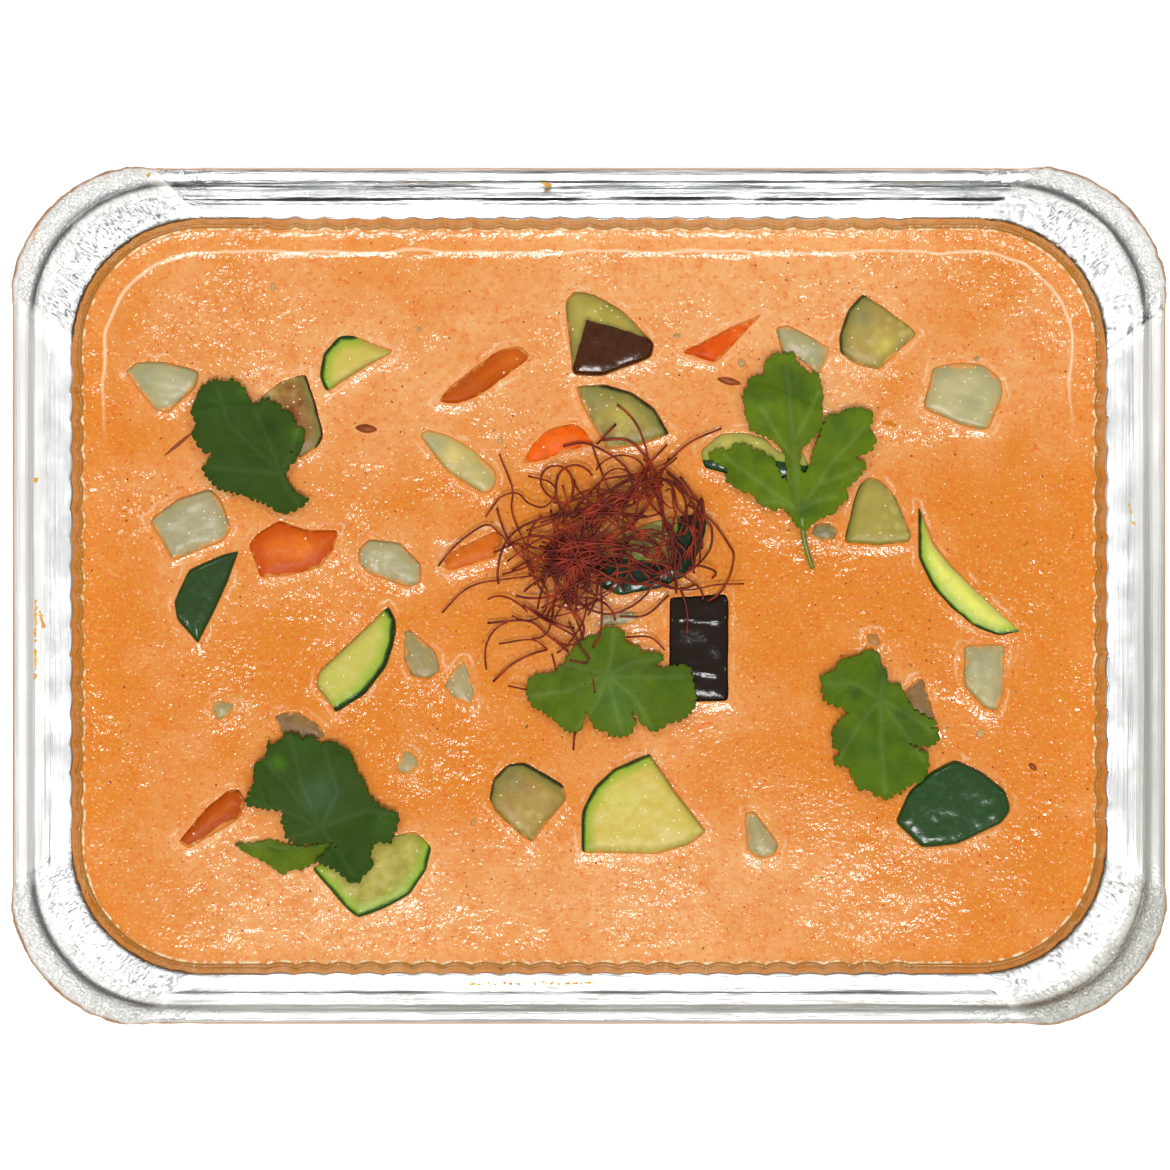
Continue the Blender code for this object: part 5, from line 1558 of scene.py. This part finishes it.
def nest_height(x, y):
    """How high the heap of threads stands above its floor."""
    span = ((x - NEST_CENTRE[0]) / NEST_HALF[0]) ** 2 + ((y - NEST_CENTRE[1]) / NEST_HALF[1]) ** 2
    return NEST_RISE * math.sqrt(max(0.0, 1.0 - span))


def hank_thread(draw, hank):
    """One thread of a hank: nearly straight, bowed to a side, with both ends loose."""
    start, end = (np.array(place) + [draw.gauss(0, 0.5 * hank[2]), draw.gauss(0, 0.5 * hank[2])]
                  for place in hank[:2])
    along = end - start
    side = np.array((-along[1], along[0])) / np.hypot(*along)
    bow = hank[3] + draw.gauss(0, 1.6)
    layer = draw.uniform(0.0, 1.6)
    points = []
    for t in np.linspace(draw.uniform(-0.15, 0.35), draw.uniform(0.6, 1.15), 6):
        stray = np.array((draw.gauss(0, 0.65), draw.gauss(0, 0.65)))
        x, y = start + along * t + side * bow * 4 * t * (1 - t) + stray
        points.append((x, y, NEST_FLOOR + 0.3 + nest_height(x, y) * 0.85 + layer))
    return smooth_route(points, THREAD_STEP)


def loose_thread(draw, heap):
    """One thread that wanders over a heap in long arcs and turns back at its border."""
    middle_x, middle_y, half_x, half_y, _ = heap
    turn = draw.uniform(0.0, 2 * math.pi)
    reach = draw.random() ** 0.55
    x = middle_x + half_x * reach * math.cos(turn)
    y = middle_y + half_y * reach * math.sin(turn)
    heading = draw.uniform(0.0, 2 * math.pi)
    bend = draw.uniform(-0.08, 0.08)
    layer = draw.uniform(0.0, 1.0)
    line = []
    for _ in range(draw.randint(round(half_x), round(3.2 * half_x))):
        line.append((x, y, NEST_FLOOR + 0.3 + nest_height(x, y) * 0.9 + layer * 1.5))
        x += THREAD_STEP * math.cos(heading)
        y += THREAD_STEP * math.sin(heading)
        bend = max(-0.17, min(0.17, bend + draw.uniform(-0.035, 0.035)))
        heading += bend
        if math.hypot((x - middle_x) / half_x, (y - middle_y) / half_y) > 1.05:
            home = math.atan2(middle_y - y, middle_x - x)
            swing = (home - heading + math.pi) % (2 * math.pi) - math.pi
            heading += 0.1 * (1 if swing > 0 else -1)
    line = np.array(line)
    line[:, 2] += 0.4 * np.sin(np.linspace(0.0, 3.0 * math.pi, len(line)) + turn)
    return line


class TRAYMEAL_OT_threads(bpy.types.Operator):
    """Add the nest of chilli threads over its core"""

    bl_idname = "traymeal.threads"
    bl_label = "Chilli threads"

    def execute(self, context):
        sizes = context.scene.tray_meal_sizes
        draw = random.Random(SEED)
        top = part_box("chilli_threads")[1].z / MM
        routes = []
        for points in THREAD_ROUTES:
            base = NEST_FLOOR + draw.uniform(0.3, 1.2)
            line = smooth_route([(x, y, base + nest_height(x, y) * 0.6) for x, y in points], 0.9)
            line[:, 2] += draw.uniform(0.2, 1.2) * np.sin(np.linspace(0.0, math.pi, len(line)))
            routes.append(line)
        for place, grow in ((NEST_HANKS, hank_thread), (NEST_HEAPS, loose_thread)):
            for one in place:
                routes += [grow(draw, one) for _ in range(round(sizes.fullness * one[4]))]
        for line in routes:
            line[:, 2] = np.clip(line[:, 2], NEST_FLOOR - 0.2, top - sizes.thread / MM)
        sized = [(line, np.full(len(line), draw.uniform(0.75, 1.15))) for line in routes]
        nest = tubes("chilli_nest", sized, sizes.thread)
        material = dried_chilli(context.scene.tray_meal_colours.chilli)
        finish_piece(nest, material, "chilli", "chilli_threads")
        deselect_all()
        bpy.ops.mesh.primitive_uv_sphere_add(segments=48, ring_count=24, radius=1.0)
        core = context.object
        core.name = "chilli_core"
        points = points_of(core.data) * MM
        x = CORE_CENTRE[0] + CORE_HALF[0] * points[:, 0]
        y = CORE_CENTRE[1] + CORE_HALF[1] * points[:, 1]
        lump = 1 + 0.25 * wander(x, y, 2.5, SEED + 40)
        z = NEST_FLOOR + np.where(points[:, 2] > 0, 0.4 * NEST_RISE * lump, 0.2) * points[:, 2]
        set_points(core.data, np.column_stack((x, y, z)))
        finish_piece(core, material, "chilli")
        return {"FINISHED"}


# Small things strewn over the sauce and the flange


def strew(name, shape, places):
    """Copies of a small mesh, each placed, turned and scaled, joined into one."""
    verts = points_of(shape.data) * MM
    faces = [tuple(face.vertices) for face in shape.data.polygons]
    all_points, all_faces = [], []
    for (x, y, z), scale, turn in places:
        cos, sin = math.cos(turn), math.sin(turn)
        sized = verts * scale
        turned = np.column_stack((
            sized[:, 0] * cos - sized[:, 1] * sin, sized[:, 0] * sin + sized[:, 1] * cos, sized[:, 2]))
        offset = len(all_points) * len(verts)
        all_points.append(turned + (x, y, z))
        all_faces += [tuple(k + offset for k in face) for face in faces]
    mesh = bpy.data.meshes.new(name)
    mesh.from_pydata(np.vstack(all_points) * MM, [], all_faces)
    obj = bpy.data.objects.new(name, mesh)
    bpy.context.scene.collection.objects.link(obj)
    bpy.data.objects.remove(shape)
    return obj


def scattered(rng, spots, least, most, narrow, wide, height):
    """Each spot with a random size, slimness and turn."""
    return [(spot, rng.uniform(least, most) * np.array((1.0, rng.uniform(narrow, wide), height)),
             rng.uniform(0, math.pi)) for spot in spots]


def small_dome(segments, rings):
    """A small round shape, one unit across, to strew."""
    deselect_all()
    bpy.ops.mesh.primitive_uv_sphere_add(segments=segments, ring_count=rings, radius=0.5)
    return bpy.context.object


def rest_on(ground, points, start=60.0):
    """Places over the tray, with the height of what lies under them."""
    tree = BVHTree.FromObject(ground, bpy.context.evaluated_depsgraph_get())
    places = []
    for x, y in points:
        hit, _, _, _ = tree.ray_cast(Vector((x, y, start)) * MM, Vector((0, 0, -1)))
        places.append((x, y, hit.z / MM))
    return places


def free_places(count, seed, margin, sauce):
    """Random places on the open sauce, with the height of its surface there."""
    rng = np.random.default_rng(seed)
    half, radius = sauce_edge()
    points = rng.uniform(-1.0, 1.0, (count * 3, 2)) * half
    wall = wall_distance(points[:, 0], points[:, 1], half, radius)
    near = piece_distance(points, vegetable_names())
    points = points[(wall > margin) & (near > margin)][:count]
    return rest_on(sauce, points), rng


def plain_bits(name, colour, second, roughness):
    """Small bits of one kind in two tones, each bit its own mix, set by where it lies."""
    material, tree, shader, coords = new_material(name)
    mixed = blotches(tree, coords, linear(colour), linear(second), 3.0, 2.0, 0.35, 0.65)
    set_inputs(tree, shader, {"Base Color": mixed, "Roughness": roughness, "Specular IOR Level": 0.2})
    return material


class TRAYMEAL_OT_spices(bpy.types.Operator):
    """Strew flecks of spice and herb, crumbs and brown bits over the sauce, and spills on the flange"""

    bl_idname = "traymeal.spices"
    bl_label = "Spices and oil"

    def execute(self, context):
        sizes = context.scene.tray_meal_sizes
        sauce = bpy.data.objects["sauce"]
        # Ground chilli: dark red and orange-red chips
        material = plain_bits("ground_chilli_chip", "#b8481e", "#8a2c16", 0.35)
        spots, rng = free_places(sizes.flecks, SEED + 50, 0.6, sauce)
        placed = scattered(rng, spots, 0.2, 0.5, 0.5, 1.0, 0.35)
        finish_piece(strew("chilli_chips", small_dome(8, 4), placed), material, "sauce")
        # Cut herb: dull green and brown scraps
        material = plain_bits("chopped_herb_scrap", "#7a6a34", "#9a7440", 0.45)
        spots, rng = free_places(sizes.flecks // 8, SEED + 51, 0.8, sauce)
        placed = scattered(rng, spots, 0.3, 0.8, 0.4, 0.8, 0.25)
        finish_piece(strew("herb_scraps", small_dome(8, 4), placed), material, "herb_leaf")
        # Crumbs of onion, half sunk, and brown bits of peel
        material = plain_bits("sunken_onion_crumb", "#cc9a5e", "#a88858", 0.3)
        spots = rest_on(sauce, from_photo(CRUMBS))
        placed = scattered(rng, spots, 1.1, 2.0, 0.5, 0.9, 0.22)
        finish_piece(strew("onion_crumbs", small_dome(16, 8), placed), material, "onion")
        routes = []
        for start, end, width in BROWN_BITS:
            ends = from_photo((start, end))
            line = rest_on(sauce, [ends[0] + (ends[1] - ends[0]) * t for t in np.linspace(0, 1, 9)])
            routes.append((np.array(line), width * np.sin(np.linspace(0.3, 2.9, 9))))
        bits = tubes("brown_bits", routes, 0.5 * MM, 2)
        finish_piece(bits, plain_bits("brown_peel_bit", "#a8582c", "#7c3c1e", 0.35), "peel")
        # Sauce that was spilled on the flange and dried
        material = plain_bits("spilled_curry", "#f4c050", "#dc983a", 0.3)
        tray = bpy.data.objects["foil_sheet"]
        placed = []
        for start, end, count, size in SPILLS:
            ends = from_photo((start, end))
            along = rng.uniform(0.0, 1.0, (count, 1))
            spots = rest_on(tray, ends[0] + (ends[1] - ends[0]) * along + rng.normal(0.0, 0.12, (count, 2)))
            placed += [(spot, rng.uniform(0.5, 1.0) * size * np.array((1.0, 0.8, 0.3)),
                        rng.uniform(0, math.pi)) for spot in spots]
        finish_piece(strew("flange_spills", small_dome(10, 6), placed), material, "sauce")
        return {"FINISHED"}


class TRAYMEAL_OT_stage(bpy.types.Operator):
    """Add the camera over the tray, the lights and the plain floor"""

    bl_idname = "traymeal.stage"
    bl_label = "Stage"

    def execute(self, context):
        scene = context.scene
        deselect_all()
        bpy.ops.mesh.primitive_plane_add(size=4.0)
        floor = context.object
        floor.name = "floor"
        material, tree, shader, coords = new_material("white_paper")
        fibre = add_node(tree, "ShaderNodeTexNoise", {"Vector": coords, "Scale": per(20.0)})
        tone = tinted(tree, linear("#fbfbfb"), linear("#ffffff"), fibre)
        set_inputs(tree, shader, {
            "Base Color": tone, "Roughness": 0.9, "Emission Color": linear("#ffffff"),
            "Emission Strength": 0.45})
        floor.data.materials.append(material)
        # Straight down, as far away as a copy stand holds a camera, over the photo's middle
        distance = 1300.0 * MM
        seen = 229.9 * MM
        target = (-0.79 * MM, 2.16 * MM)
        data = bpy.data.cameras.new("camera")
        data.sensor_width = 36.0
        data.lens = 36.0 * (distance - FLANGE_HEIGHT * MM) / seen
        data.clip_start = 0.05
        data.clip_end = 10.0
        camera = bpy.data.objects.new("camera", data)
        scene.collection.objects.link(camera)
        camera.location = (*target, distance)
        scene.camera = camera
        # The main lamp a little to the near side, and four more round the copy stand
        lamps = [("key", 14.0, 270.0, 1.1)]
        lamps += [(f"side_{turn}", 30.0, turn, 0.25) for turn in (25.0, 115.0, 205.0, 295.0)]
        for name, lean, turn, strength in lamps:
            sun = bpy.data.lights.new(name, "SUN")
            sun.energy = strength
            sun.angle = math.radians(8.0 if name == "key" else 5.0)
            lamp = bpy.data.objects.new(name, sun)
            scene.collection.objects.link(lamp)
            lamp.rotation_euler = (0.0, math.radians(lean), math.radians(turn))
        world = bpy.data.worlds.new("soft_room")
        scene.world = world
        world.use_nodes = True
        tree = world.node_tree
        way = add_node(tree, "ShaderNodeTexCoord").outputs["Generated"]
        up = add_node(tree, "ShaderNodeSeparateXYZ", {0: way}).outputs["Z"]
        glow = add_node(tree, "ShaderNodeMapRange", {
            "Value": up, "From Min": 0.5, "From Max": 0.82, "To Min": 0.06, "To Max": 0.75},
            interpolation_type="SMOOTHSTEP")
        background = tree.nodes["Background"]
        set_inputs(tree, background, {"Color": (1.0, 1.0, 1.0, 1.0), "Strength": glow})
        scene.view_settings.view_transform = "Standard"
        scene.view_settings.look = "None"
        return {"FINISHED"}


class TRAYMEAL_PT_panel(bpy.types.Panel):
    """The pieces of the meal, in the order that they are made."""

    bl_label = "Tray Meal"
    bl_idname = "TRAYMEAL_PT_panel"
    bl_space_type = "VIEW_3D"
    bl_region_type = "UI"
    bl_category = "Tray Meal"

    def draw(self, context):
        for group in (context.scene.tray_meal_sizes, context.scene.tray_meal_colours):
            for name in group.bl_rna.properties.keys():
                if name not in ("rna_type", "name"):
                    self.layout.prop(group, name)
        for operator in OPERATORS:
            self.layout.operator(operator.bl_idname)


OPERATORS = (
    TRAYMEAL_OT_tray,
    TRAYMEAL_OT_sauce,
    TRAYMEAL_OT_onions,
    TRAYMEAL_OT_carrots,
    TRAYMEAL_OT_aubergines,
    TRAYMEAL_OT_courgettes,
    TRAYMEAL_OT_peels,
    TRAYMEAL_OT_leaves,
    TRAYMEAL_OT_threads,
    TRAYMEAL_OT_spices,
    TRAYMEAL_OT_stage,
)


def register():
    for cls in (TrayMealSizes, TrayMealColours, *OPERATORS, TRAYMEAL_PT_panel):
        bpy.utils.register_class(cls)
    bpy.types.Scene.tray_meal_sizes = PointerProperty(type=TrayMealSizes)
    bpy.types.Scene.tray_meal_colours = PointerProperty(type=TrayMealColours)


def unregister():
    del bpy.types.Scene.tray_meal_sizes
    del bpy.types.Scene.tray_meal_colours
    for cls in (TRAYMEAL_PT_panel, *reversed(OPERATORS), TrayMealColours, TrayMealSizes):
        bpy.utils.unregister_class(cls)


def main():
    register()
    bpy.ops.traymeal.tray()
    bpy.ops.traymeal.sauce()
    bpy.ops.traymeal.onions()
    bpy.ops.traymeal.carrots()
    bpy.ops.traymeal.aubergines()
    bpy.ops.traymeal.courgettes()
    bpy.ops.traymeal.peels()
    bpy.ops.traymeal.leaves()
    bpy.ops.traymeal.threads()
    bpy.ops.traymeal.spices()
    bpy.ops.traymeal.stage()
    deselect_all()
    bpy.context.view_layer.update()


if __name__ == "__main__":
    main()
